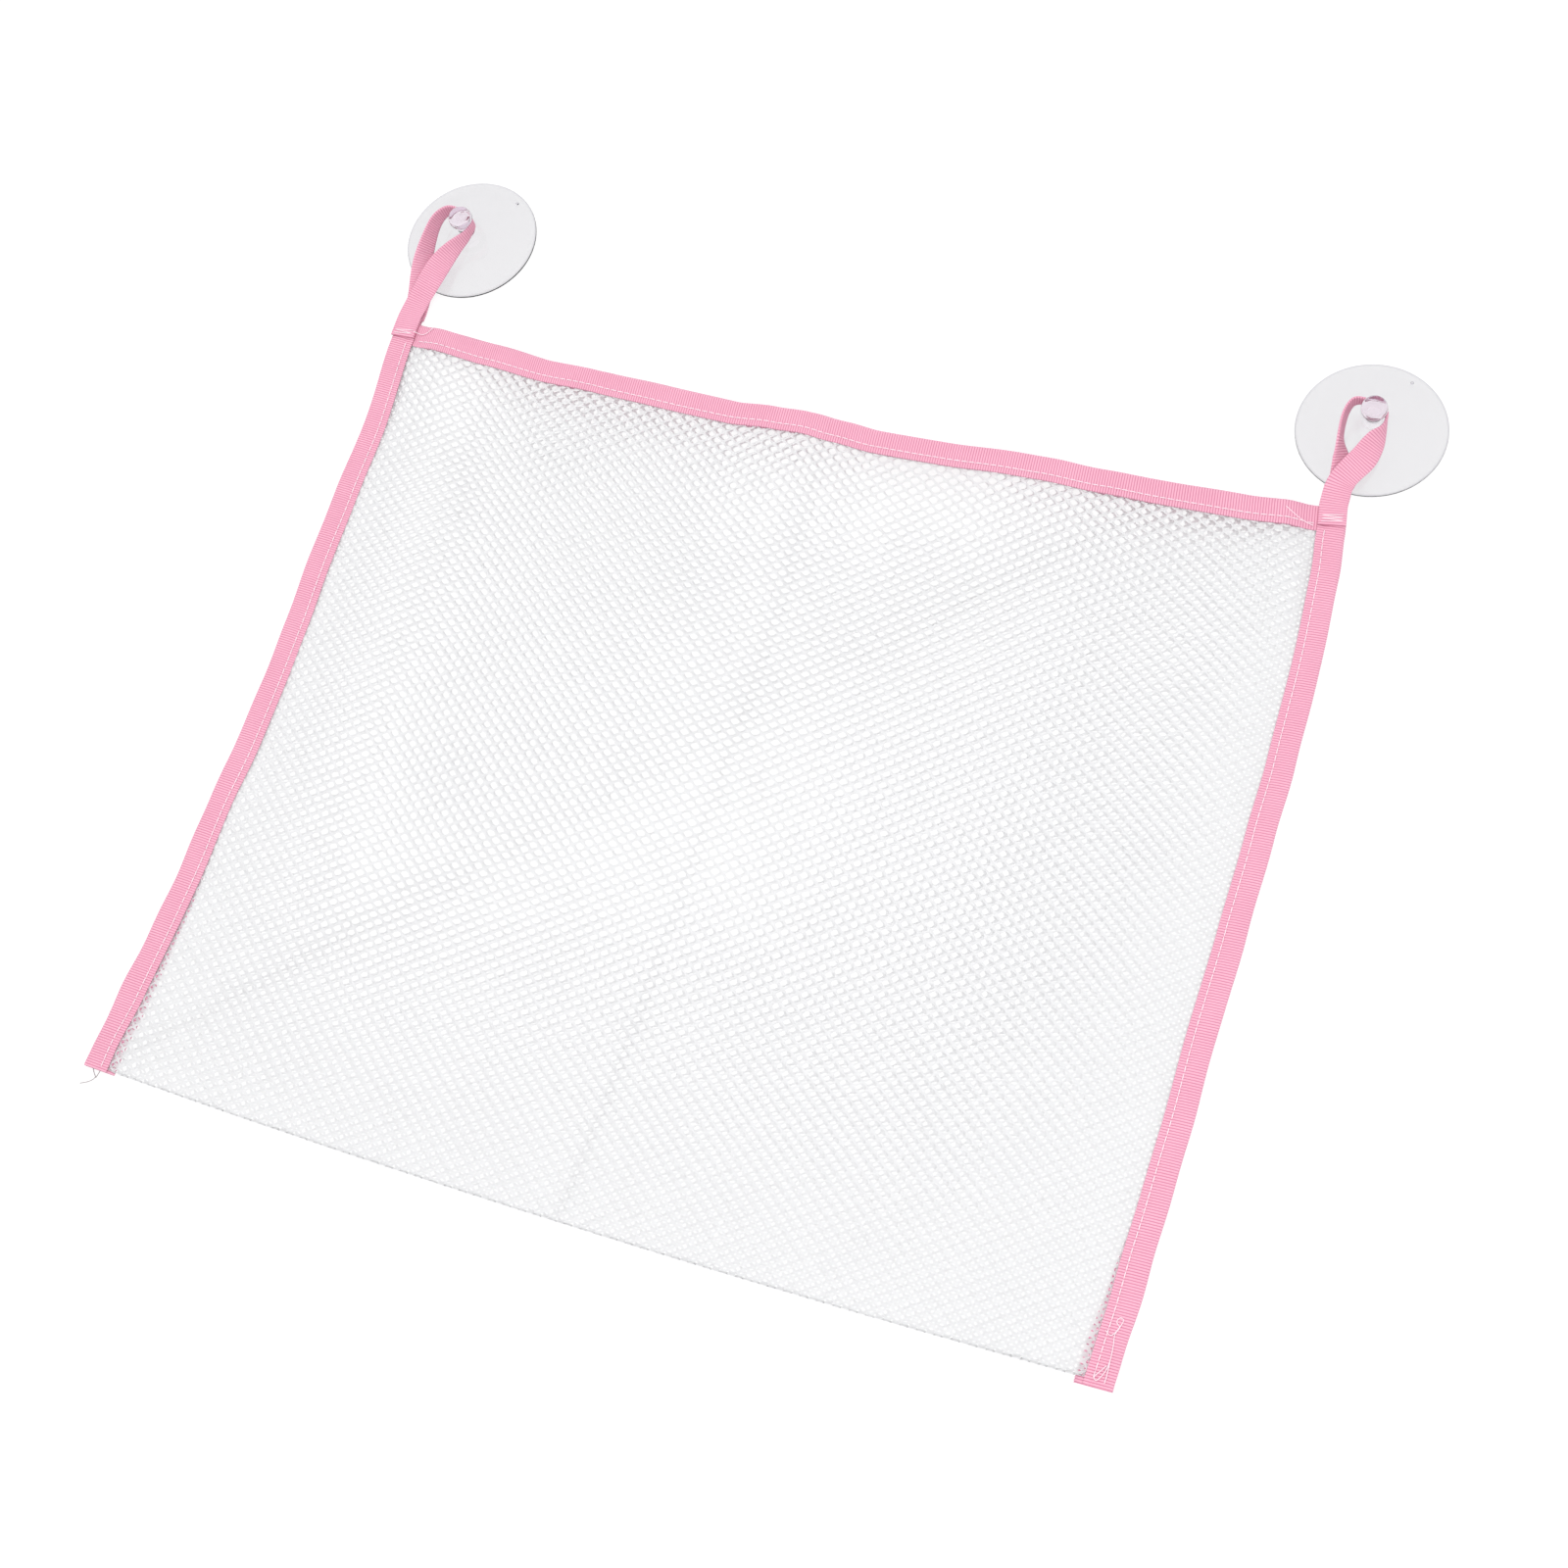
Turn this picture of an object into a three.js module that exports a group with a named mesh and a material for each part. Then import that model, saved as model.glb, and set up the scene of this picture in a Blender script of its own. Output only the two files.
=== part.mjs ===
import * as THREE from "three";

// Net bag with taped edges and two suction cups, lying flat with its wall side down.
// Millimetres: X runs along the mouth, Y from the bottom fold towards the loops, Z up.

// Bag
const BAG_WIDTH = 420;
const BAG_HEIGHT = 350;
const NET_THICKNESS = 0.6;
const NET_COLUMNS = 18;
const NET_ROWS = 14;
const GAP_SHARE = 0.68;

// Tape, folded along its middle
const TAPE_WIDTH = 11;
const TAPE_LAYER = 0.5;
const CLEARANCE = 0.25;
const SEAM_GAP = 0.35;

// How the cloth lies
const SIDE_BOW = 6;
const FOLD_SAG = 4;
const BACK_SAG = 8.2;
const FRONT_SAG = 12.5;
const BELLY = 8;
const BELLY_RAMP = 90;
const BELLY_RISE = 170;

// Thread
const STITCH = 8;
const THREAD_WIDTH = 0.7;
const THREAD_HEIGHT = 0.4;
const THREAD_DIP = 0.14;
const THREAD_GAP = 0.06;
const SEAM_INSET = 3;

// Suction cup
const CUP_RADIUS = 30;
const LIP_WIDTH = 3.4;
const NECK_RADIUS = 3.4;
const NECK_LOW = 8.4;
const NECK_HIGH = 15;
const HEAD_RADIUS = 5.25;
const CUP_HEIGHT = 21;
const CUP_HOLLOW = 3.4;
const CUP_CROWN = 6.5;
const COLLAR_HEIGHT = 7.5;
const CUP_FACETS = 40;

// Hanging loop
const LOOP_TAPE = 1;
const LOOP_BASE_GAP = 0.6;
const LOOP_CELLS = 4;
const LOOP_STEPS = 6;
const LEFT_NECK_ASIDE = 17.2;
const LEFT_NECK_ABOVE = 46.3;
const RIGHT_NECK_ASIDE = 0.9;
const RIGHT_NECK_ABOVE = 37.4;
const LEFT_LOOP_LEVEL = 1.6;
const RIGHT_LOOP_LEVEL = 2.8;
const TACK_STEP = 2;
const TACK_EDGE = 3.2;
const TACK_GAP = 0.16;
const CORNER_TAIL = 4;
const TAIL_HEIGHT = 1.4;

// Levels of the layers, from the table up
const SLOT = NET_THICKNESS + 2 * CLEARANCE;
const BINDING = SLOT + 2 * TAPE_LAYER;
const BACK_LEVEL = BINDING / 2;
const CORNER_LIFT = TAPE_LAYER + CLEARANCE;
const FRONT_LEVEL = BINDING + NET_THICKNESS / 2;
const FOLD_RADIUS = (FRONT_LEVEL - BACK_LEVEL) / 2;
const CORNER_SLOT = BINDING + 2 * CLEARANCE;
const FRONT_MOUTH_RISE = CORNER_LIFT + BINDING + 2 * CLEARANCE + THREAD_HEIGHT
  + THREAD_GAP + BACK_LEVEL - FRONT_LEVEL;

const SLOT_MOUTH = TAPE_WIDTH + 0.5;
const RIM_END = 1.5;
const FRONT_EDGE = TAPE_WIDTH + SEAM_GAP;
const FRONT_RIM = 3;

const unit = (x) => Math.min(1, Math.max(0, x));
const smooth = (x) => unit(x) ** 2 * (3 - 2 * unit(x));
const spread = (from, to, count) =>
  Array.from({ length: count + 1 }, (_, k) => from + ((to - from) * k) / count);

// Values known at knots, joined by straight lines.
function between(knots, value, x) {
  let k = 1;
  while (k < knots.length - 1 && x > knots[k]) k += 1;
  const share = (x - knots[k - 1]) / (knots[k] - knots[k - 1]);
  return value(knots[k - 1]) * (1 - share) + value(knots[k]) * share;
}

// Sideways bow of the bag and the sag of its edges, both in the plane of the table.
function sideBow(v) {
  const t = unit(v / BAG_HEIGHT);
  return SIDE_BOW * 4 * t * (1 - t);
}

function edgeSag(u, v, mouthSag) {
  const s = u / BAG_WIDTH;
  const t = unit(v / BAG_HEIGHT);
  return (FOLD_SAG * (1 - t) + mouthSag * t) * 4 * s * (1 - s);
}

function onTable(u, v, z, mouthSag) {
  return new THREE.Vector3(u + sideBow(v), v - edgeSag(u, v, mouthSag), z);
}

const backColumns = spread(SLOT_MOUTH, BAG_WIDTH - SLOT_MOUTH, NET_COLUMNS);
const backRows = spread(RIM_END * 2, BAG_HEIGHT - SLOT_MOUTH, NET_ROWS);
const frontColumns = spread(
  FRONT_EDGE + FRONT_RIM, BAG_WIDTH - FRONT_EDGE - FRONT_RIM, NET_COLUMNS);
const frontRows = spread(
  SEAM_GAP + FRONT_RIM, BAG_HEIGHT - SLOT_MOUTH, NET_ROWS);

// Border points of a net lie at its corners and at every odd line.
const borderKnots = (lines) =>
  lines.filter((_, k) => k === 0 || k === lines.length - 1 || k % 2 === 1);

// Near the mouth corners the back layer climbs over the lower leaf of the side tape.
function cornerLift(u, v) {
  const inward = Math.min(u, BAG_WIDTH - u) - SLOT_MOUTH;
  const along = unit(1 - inward / (backColumns[2] - backColumns[0]));
  const up = unit((v - backRows[NET_ROWS - 1])
    / (backRows[NET_ROWS] - backRows[NET_ROWS - 1]));
  return CORNER_LIFT * along * up;
}

function layBack(u, v, offset) {
  if (v >= 0) {
    return onTable(u, v, BACK_LEVEL + cornerLift(u, v) + offset, BACK_SAG);
  }
  const turn = Math.min(-v / FOLD_RADIUS, Math.PI);
  const r = FOLD_RADIUS - offset;
  const p = onTable(u, 0, BACK_LEVEL + FOLD_RADIUS - r * Math.cos(turn), BACK_SAG);
  p.y -= r * Math.sin(turn);
  return p;
}

// The front layer stands off the back layer, most of all along the mouth.
function frontHeight(u, v) {
  const inward = Math.min(u, BAG_WIDTH - u) - TAPE_WIDTH;
  const belly = BELLY * smooth(inward / BELLY_RAMP) * smooth(v / BELLY_RISE);
  const last = frontRows[NET_ROWS];
  const start = frontRows[NET_ROWS - 3];
  return FRONT_LEVEL + belly + FRONT_MOUTH_RISE * smooth((v - start) / (last - start));
}

const layFront = (u, v, offset) =>
  onTable(u, v, frontHeight(u, v) + offset, FRONT_SAG);

// A geometry from points and triangles, turned so that its faces point out.
function solid(points, triangles) {
  let volume = 0;
  for (const [a, b, c] of triangles) {
    volume += points[a].dot(points[b].clone().cross(points[c]));
  }
  const faces = volume < 0 ? triangles.map(([a, b, c]) => [a, c, b]) : triangles;
  const flat = faces.flat().flatMap((k) => points[k].toArray());
  const geometry = new THREE.BufferGeometry();
  geometry.setAttribute("position", new THREE.Float32BufferAttribute(flat, 3));
  geometry.computeVertexNormals();
  return geometry;
}

// A sheet of cloth: an upper face, a lower face, and a wall along each open edge.
function sheet(pattern, triangles, lay, thickness) {
  const count = pattern.length;
  const points = [
    ...pattern.map(([u, v]) => lay(u, v, thickness / 2)),
    ...pattern.map(([u, v]) => lay(u, v, -thickness / 2)),
  ];
  const faces = [];
  const edges = new Map();
  for (const [a, b, c] of triangles) {
    faces.push([a, b, c], [a + count, c + count, b + count]);
    for (const [p, q] of [[a, b], [b, c], [c, a]]) {
      const twin = q + "-" + p;
      if (edges.has(twin)) edges.delete(twin);
      else edges.set(p + "-" + q, [p, q]);
    }
  }
  for (const [p, q] of edges.values()) {
    faces.push([q, p, p + count], [q, p + count, q + count]);
  }
  return solid(points, faces);
}

// Flat pattern of a net: diamonds in staggered rows, each with a gap, and half diamonds
// along the border. Strips are rows of points added outside the border.
class NetPattern {
  constructor(columns, rows) {
    this.columns = columns;
    this.rows = rows;
    this.points = [];
    this.triangles = [];
    this.known = new Map();
    rows.forEach((_, j) => columns.forEach((_, i) => {
      if ((i + j) % 2 === 0) this.diamond(i, j);
    }));
  }

  point(u, v) {
    const key = u.toFixed(4) + "," + v.toFixed(4);
    if (!this.known.has(key)) {
      this.known.set(key, this.points.length);
      this.points.push([u, v]);
    }
    return this.known.get(key);
  }

  quad(a, b, c, d) {
    this.triangles.push([a, b, c], [a, c, d]);
  }

  diamond(i, j) {
    const { columns, rows } = this;
    const around = [[i + 1, j], [i, j + 1], [i - 1, j], [i, j - 1]];
    const inside = ([m, n]) => columns[m] !== undefined && rows[n] !== undefined;
    const at = ([m, n]) => this.point(columns[m], rows[n]);
    const kept = around.filter(inside);
    if (kept.length === 4) {
      const inner = kept.map(([m, n]) => this.point(
        columns[i] + GAP_SHARE * (columns[m] - columns[i]),
        rows[j] + GAP_SHARE * (rows[n] - rows[j])));
      const outer = kept.map(at);
      outer.forEach((a, k) => {
        const next = (k + 1) % 4;
        this.quad(a, outer[next], inner[next], inner[k]);
      });
      return;
    }
    const first = around.findIndex((p, k) => inside(p) && !inside(around[(k + 3) % 4]));
    const turned = [...around.slice(first), ...around.slice(0, first)].filter(inside);
    const corners = turned.map(at);
    if (corners.length === 2) corners.push(at([i, j]));
    this.triangles.push(corners);
  }

  strip(from, to) {
    for (let k = 1; k < from.length; k += 1) {
      this.quad(
        this.point(...from[k - 1]), this.point(...from[k]),
        this.point(...to[k]), this.point(...to[k - 1]));
    }
  }
}

function backNet() {
  const net = new NetPattern(backColumns, backRows);
  const across = borderKnots(backColumns);
  const up = borderKnots(backRows);
  const [left, right] = [across[0], across.at(-1)];
  const [low, high] = [up[0], up.at(-1)];
  const outerLeft = RIM_END;
  const outerRight = BAG_WIDTH - RIM_END;
  const top = BAG_HEIGHT - RIM_END;
  net.strip(up.map((v) => [left, v]), up.map((v) => [outerLeft, v]));
  net.strip(up.map((v) => [outerRight, v]), up.map((v) => [right, v]));
  const mouth = [outerLeft, ...across, outerRight];
  net.strip(mouth.map((u) => [u, high]), mouth.map((u) => [u, top]));
  const turns = spread(0, -Math.PI * FOLD_RADIUS, 4);
  [low, ...turns.slice(0, -1)].forEach((v, k) => {
    net.strip(across.map((u) => [u, turns[k]]), across.map((u) => [u, v]));
  });
  return sheet(net.points, net.triangles, layBack, NET_THICKNESS);
}

function frontNet() {
  const net = new NetPattern(frontColumns, frontRows);
  const across = borderKnots(frontColumns);
  const up = borderKnots(frontRows);
  const [left, right] = [across[0], across.at(-1)];
  const [low, high] = [up[0], up.at(-1)];
  const outerLeft = FRONT_EDGE;
  const outerRight = BAG_WIDTH - FRONT_EDGE;
  const bottom = SEAM_GAP;
  const top = BAG_HEIGHT - RIM_END;
  net.strip([bottom, ...up].map((v) => [left, v]), [bottom, ...up].map((v) => [outerLeft, v]));
  net.strip([bottom, ...up].map((v) => [outerRight, v]), [bottom, ...up].map((v) => [right, v]));
  net.strip(across.map((u) => [u, bottom]), across.map((u) => [u, low]));
  net.strip(across.map((u) => [u, high]), across.map((u) => [u, top]));
  return sheet(net.points, net.triangles, layFront, NET_THICKNESS);
}

// A body through a row of cross-sections with the same number of points.
function loft(sections, cap) {
  const n = sections[0].length;
  const faces = [];
  for (let k = 1; k < sections.length; k += 1) {
    for (let i = 0; i < n; i += 1) {
      const a = (k - 1) * n + i;
      const b = (k - 1) * n + ((i + 1) % n);
      faces.push([a, b, b + n], [a, b + n, a + n]);
    }
  }
  const last = (sections.length - 1) * n;
  for (const [a, b, c] of cap) {
    faces.push([a, c, b], [last + a, last + b, last + c]);
  }
  return solid(sections.flat(), faces);
}

// Cross-section of folded tape: distance from the fold, and height above its underside.
function foldedSection(height) {
  const inner = height - TAPE_LAYER;
  return [
    [TAPE_WIDTH, TAPE_LAYER], [1.1, TAPE_LAYER], [0.6, height / 2], [1.1, inner],
    [TAPE_WIDTH, inner], [TAPE_WIDTH, height], [0.8, height], [0.25, height * 0.8],
    [0, height / 2], [0.25, height * 0.2], [0.8, 0], [TAPE_WIDTH, 0],
  ];
}

const foldedCap = THREE.ShapeUtils.triangulateShape(
  foldedSection(BINDING).map(([x, y]) => new THREE.Vector2(x, y)), []);

const sideKnots = [
  -RIM_END, ...backRows, BAG_HEIGHT - RIM_END, BAG_HEIGHT + CLEARANCE,
  BAG_HEIGHT + CORNER_TAIL,
];

// The side tape opens at the mouth corner, where the ends of the mouth tape lie inside it.
function sideHeight(v) {
  const start = backRows[NET_ROWS - 2];
  const full = backRows[NET_ROWS];
  const open = CORNER_SLOT - SLOT;
  if (v <= full) return BINDING + open * unit((v - start) / (full - start));
  const end = BAG_HEIGHT + CLEARANCE;
  const closed = unit((v - end) / (CORNER_TAIL - CLEARANCE));
  return (BINDING + open) * (1 - closed) + TAIL_HEIGHT * closed;
}

function sideBinding(fromEdge) {
  const sections = sideKnots.map((v) => foldedSection(sideHeight(v))
    .map(([q, z]) => onTable(fromEdge(q), v, z, BACK_SAG)));
  return loft(sections, foldedCap);
}

const backKnots = [2 * RIM_END, ...borderKnots(backColumns), BAG_WIDTH - 2 * RIM_END];
const frontKnots = [FRONT_EDGE, ...borderKnots(frontColumns), BAG_WIDTH - FRONT_EDGE];
const backMouthLevel = (u) => BACK_LEVEL + cornerLift(u, BAG_HEIGHT);
const frontMouthLevel = (u) => frontHeight(u, BAG_HEIGHT);

function mouthBinding(knots, level, sag) {
  const sections = knots.map((u) => foldedSection(BINDING)
    .map(([q, z]) => onTable(u, BAG_HEIGHT - q, level(u) + z - BINDING / 2, sag)));
  return loft(sections, foldedCap);
}

// A seam thread on a surface: full in the middle of each stitch, thin where it dips.
function seamThread(from, to, knots, place) {
  const count = Math.round((to - from) / STITCH);
  const marks = spread(from, to, 2 * count).map((x, k) =>
    [x, k % 2 ? THREAD_HEIGHT : THREAD_DIP]);
  const heightAt = (x) => between(marks.map((m) => m[0]),
    (m) => marks.find((n) => n[0] === m)[1], x);
  const extra = knots.filter((x) => x > from && x < to
    && marks.every((m) => Math.abs(m[0] - x) > 0.05));
  const all = [...marks, ...extra.map((x) => [x, heightAt(x)])];
  all.sort((a, b) => a[0] - b[0]);
  const half = THREAD_WIDTH / 2;
  const sections = all.map(([x, h]) =>
    [place(x, -half, 0), place(x, half, 0), place(x, 0, h)]);
  return loft(sections, [[0, 1, 2]]);
}

function sideStitching(fromEdge) {
  const q = TAPE_WIDTH - SEAM_INSET;
  return seamThread(0, BAG_HEIGHT - 1, sideKnots, (v, across, h) => onTable(
    fromEdge(q + across), v, sideHeight(v) + THREAD_GAP + h, BACK_SAG));
}

function mouthStitching(from, to, knots, level, sag) {
  const q = TAPE_WIDTH - SEAM_INSET;
  return seamThread(from, to, knots, (u, across, h) => onTable(
    u, BAG_HEIGHT - q - across,
    between(knots, level, u) + BINDING / 2 + THREAD_GAP + h, sag));
}

// Surface of revolution of the cup: hollow below, sealing lip, neck and head.
function suctionCup() {
  const rim = CUP_RADIUS;
  const profile = [
    [0, CUP_HOLLOW], [rim * 0.33, CUP_HOLLOW - 0.4], [rim * 0.66, CUP_HOLLOW - 1.8],
    [rim - LIP_WIDTH, 0], [rim - 0.3, 0],
    [rim, 0.3], [rim, 0.8], [rim - 0.4, 1.1], [rim * 0.8, 2.1], [rim * 0.6, 3.2],
    [rim * 0.4, 4.4], [rim * 0.28, 5.4], [rim * 0.2, CUP_CROWN], [rim * 0.145, COLLAR_HEIGHT],
    [NECK_RADIUS, NECK_LOW], [NECK_RADIUS, NECK_HIGH], [HEAD_RADIUS - 0.6, NECK_HIGH + 0.6],
    [HEAD_RADIUS, NECK_HIGH + 1.4], [HEAD_RADIUS, CUP_HEIGHT - 2.8],
    [HEAD_RADIUS - 0.6, CUP_HEIGHT - 1.3], [HEAD_RADIUS - 2.1, CUP_HEIGHT - 0.35],
    [0, CUP_HEIGHT],
  ].map(([r, z]) => new THREE.Vector2(r, z));
  const geometry = new THREE.LatheGeometry(profile, CUP_FACETS);
  return geometry.rotateX(Math.PI / 2);
}

// A hanging loop: a strip of tape that rises from the corner, turns on edge, goes round the
// neck of the cup and comes back over itself. Each knot is a place on its middle line, in
// tape widths from the base or the neck or in loop radii from the neck, then the share of
// the climb, the turn of the tape in degrees and its share of the tape's width.
class HangingLoop {
  constructor({ base, neck, knots }) {
    this.base = base;
    this.neck = neck;
    this.knots = knots;
    this.radius = NECK_RADIUS + CLEARANCE + LOOP_TAPE / 2;
    this.level = (NECK_LOW + NECK_HIGH) / 2 + 0.2;
    const curve = (points) => new THREE.CatmullRomCurve3(points, false, "catmullrom", 0.5);
    this.line = curve(knots.map((knot, k) => this.place(knot, k)));
    this.lie = curve(knots.map(([, , , , turn, share]) =>
      new THREE.Vector3(THREE.MathUtils.degToRad(turn), share * TAPE_WIDTH, 0)));
  }

  // The ends of the strip lie on each other at the corner.
  place([from, across, along, climb], k) {
    const unitLength = from === "round" ? this.radius : TAPE_WIDTH;
    const origin = from === "base" ? this.base : this.neck;
    const stack = (LOOP_TAPE + CLEARANCE) / 2;
    const ends = { 0: -stack, [this.knots.length - 1]: stack };
    return new THREE.Vector3(
      origin.x + across * unitLength,
      origin.y + along * unitLength,
      this.base.z + climb * (this.level - this.base.z) + (ends[k] ?? 0));
  }

  // One place on the strip: its centre, and the directions across the tape and through it.
  frame(t) {
    const centre = this.line.getPoint(t);
    const ahead = this.line.getTangent(t);
    const right = new THREE.Vector3(ahead.y, -ahead.x, 0).normalize();
    const level = right.clone().cross(ahead).normalize();
    const { x: turn, y: wide } = this.lie.getPoint(t);
    const across = right.clone().multiplyScalar(Math.cos(turn))
      .addScaledVector(level, -Math.sin(turn));
    const through = right.clone().multiplyScalar(Math.sin(turn))
      .addScaledVector(level, Math.cos(turn));
    return { centre, across, through, wide };
  }

  section({ centre, across, through, wide }) {
    const under = spread(-1, 1, LOOP_CELLS).map((a) => [a, -1]);
    const over = spread(1, -1, LOOP_CELLS).map((a) => [a, 1]);
    return [...under, ...over].map(([a, b]) => centre.clone()
      .addScaledVector(across, (a * wide) / 2)
      .addScaledVector(through, (b * LOOP_TAPE) / 2));
  }

  ribbon() {
    const steps = spread(0, 1, LOOP_STEPS * (this.knots.length - 1));
    const last = 2 * LOOP_CELLS + 1;
    const cap = spread(0, LOOP_CELLS - 1, LOOP_CELLS - 1).flatMap((k) =>
      [[k, k + 1, last - k - 1], [k, last - k - 1, last - k]]);
    return loft(steps.map((t) => this.section(this.frame(t))), cap);
  }

  // Zigzag tack on the sewn end of the strip. Each turn is a mitre across the tape.
  tack(from, to) {
    const lift = LOOP_TAPE / 2 + TACK_GAP;
    const swing = TAPE_WIDTH - 2 * TACK_EDGE;
    const length = this.line.getPoint(from).distanceTo(this.line.getPoint(to));
    const turns = Math.max(1, Math.round(length / TACK_STEP));
    const mitre = (THREAD_WIDTH / 2) * (swing / TACK_STEP);
    const sections = spread(from, to, turns).map((t, k) => {
      const { centre, across, through } = this.frame(t);
      const at = centre.clone()
        .addScaledVector(across, ((k % 2 ? 1 : -1) * swing) / 2)
        .addScaledVector(through, -lift);
      return [
        at.clone().addScaledVector(across, -mitre),
        at.clone().addScaledVector(across, mitre),
        at.clone().addScaledVector(through, -THREAD_HEIGHT),
      ];
    });
    return loft(sections, [[0, 1, 2]]);
  }
}

const loopStart = BAG_HEIGHT + CORNER_TAIL + LOOP_BASE_GAP;
const leftLoop = new HangingLoop({
  base: new THREE.Vector3(TAPE_WIDTH / 2, loopStart, LEFT_LOOP_LEVEL),
  neck: new THREE.Vector2(LEFT_NECK_ASIDE, BAG_HEIGHT + LEFT_NECK_ABOVE),
  knots: [
    ["base", 0, 0, 0, 0, 1],
    ["base", 0, 0.35, 0.035, 2, 1],
    ["base", -0.05, 1.036, 0.22, 8, 1],
    ["base", -0.236, 2.082, 0.602, 40, 0.82],
    ["neck", -1.318, -0.709, 0.854, 55, 0.68],
    ["neck", -1.236, 0.064, 0.971, 65, 0.59],
    ["neck", -0.927, 0.545, 1, 80, 0.5],
    ["neck", -0.455, 0.591, 1, 90, 0.47],
    ["round", 0.05, 1.02, 1, 90, 0.47],
    ["round", 0.866, 0.5, 1, 90, 0.47],
    ["round", 0.906, -0.423, 1, 92, 0.48],
    ["neck", 0.209, -0.527, 0.971, 105, 0.55],
    ["neck", -0.164, -1.118, 0.854, 130, 0.73],
    ["neck", -0.509, -1.773, 0.66, 155, 0.91],
    ["base", 0.3, 1.173, 0.49, 172, 1],
    ["base", 0.05, 0.35, 0.225, 178, 1],
    ["base", 0, 0, 0, 180, 1],
  ],
});
const rightLoop = new HangingLoop({
  base: new THREE.Vector3(BAG_WIDTH - TAPE_WIDTH / 2, loopStart, RIGHT_LOOP_LEVEL),
  neck: new THREE.Vector2(BAG_WIDTH + RIGHT_NECK_ASIDE, BAG_HEIGHT + RIGHT_NECK_ABOVE),
  knots: [
    ["base", 0, 0, 0, 0, 1],
    ["base", 0, 0.3, 0.03, 0, 1],
    ["base", 0.08, 0.74, 0.13, -5, 1],
    ["base", -0.17, 1.38, 0.45, 35, 0.76],
    ["neck", -0.936, -0.991, 0.813, 70, 0.6],
    ["neck", -0.973, -0.173, 0.967, 75, 0.55],
    ["neck", -0.818, 0.382, 1, 82, 0.5],
    ["neck", -0.445, 0.509, 1, 90, 0.47],
    ["round", 0.05, 1.02, 1, 90, 0.47],
    ["round", 1.06, 0.53, 1, 90, 0.47],
    ["round", 1.28, -0.36, 1, 92, 0.5],
    ["neck", 0.464, -0.491, 0.978, 110, 0.6],
    ["neck", 0.3, -0.918, 0.89, 142, 0.85],
    ["neck", 0.027, -1.673, 0.73, 168, 1],
    ["base", 0.28, 0.8, 0.62, 173, 1],
    ["base", 0.01, 0.34, 0.29, 179, 1],
    ["base", 0, 0, 0, 180, 1],
  ],
});

const fromLeft = (q) => q;
const fromRight = (q) => BAG_WIDTH - q;

const bag = new THREE.Group();
bag.name = "mesh_shower_organizer";

function add(name, geometry, color, roughness, extra = {}) {
  const material = new THREE.MeshStandardMaterial({ color, roughness, metalness: 0, ...extra });
  const mesh = new THREE.Mesh(geometry, material);
  mesh.name = name;
  bag.add(mesh);
}

const WHITE = 0xf5f5f6;
const PINK = 0xf5b4ca;
const PALE_PINK = 0xfbd9e4;
const CLEAR = { transparent: true, opacity: 0.4 };

add("back_net", backNet(), WHITE, 0.7);
add("front_net", frontNet(), WHITE, 0.7);
add("back_mouth_binding", mouthBinding(backKnots, backMouthLevel, BACK_SAG), PINK, 0.8);
add("front_mouth_binding", mouthBinding(frontKnots, frontMouthLevel, FRONT_SAG), PINK, 0.8);
add("left_side_binding", sideBinding(fromLeft), PINK, 0.8);
add("right_side_binding", sideBinding(fromRight), PINK, 0.8);
add("left_hanging_loop", leftLoop.ribbon(), PINK, 0.8);
add("right_hanging_loop", rightLoop.ribbon(), PINK, 0.8);
add("left_side_stitching", sideStitching(fromLeft), PALE_PINK, 0.7);
add("right_side_stitching", sideStitching(fromRight), PALE_PINK, 0.7);
add("back_mouth_stitching", mouthStitching(
  TAPE_WIDTH + 2, BAG_WIDTH - TAPE_WIDTH - 2, backKnots, backMouthLevel, BACK_SAG),
PALE_PINK, 0.7);
add("front_mouth_stitching", mouthStitching(
  FRONT_EDGE + 1, BAG_WIDTH - FRONT_EDGE - 1, frontKnots, frontMouthLevel, FRONT_SAG),
PALE_PINK, 0.7);
add("left_loop_stitching", leftLoop.tack(0.89, 0.985), PALE_PINK, 0.7);
add("right_loop_stitching", rightLoop.tack(0.955, 0.99), PALE_PINK, 0.7);
for (const [name, loop] of [["left", leftLoop], ["right", rightLoop]]) {
  const cup = suctionCup().translate(loop.neck.x, loop.neck.y, 0);
  add(name + "_suction_cup", cup, 0xf1eef4, 0.12, CLEAR);
}

// The origin is the middle of the bag's outline on the table.
const outline = new THREE.Box3().setFromObject(bag);
const middle = outline.getCenter(new THREE.Vector3());
for (const mesh of bag.children) mesh.geometry.translate(-middle.x, -middle.y, -outline.min.z);

export default bag;
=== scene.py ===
# %% [markdown]
# # A net bag with pink taped edges and two clear suction cups
# The bag lies on a table with its wall side down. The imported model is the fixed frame: it says
# where every piece is and how the pieces move. This file dresses it. Cloth is worked out here as
# whole arrays of points, because a net of ten thousand holes, or a tape with a rib each
# millimetre, is a formula repeated along a sheet, and a formula is quicker than modelling tools.

import bpy
import numpy as np
from mathutils import Matrix


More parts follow.
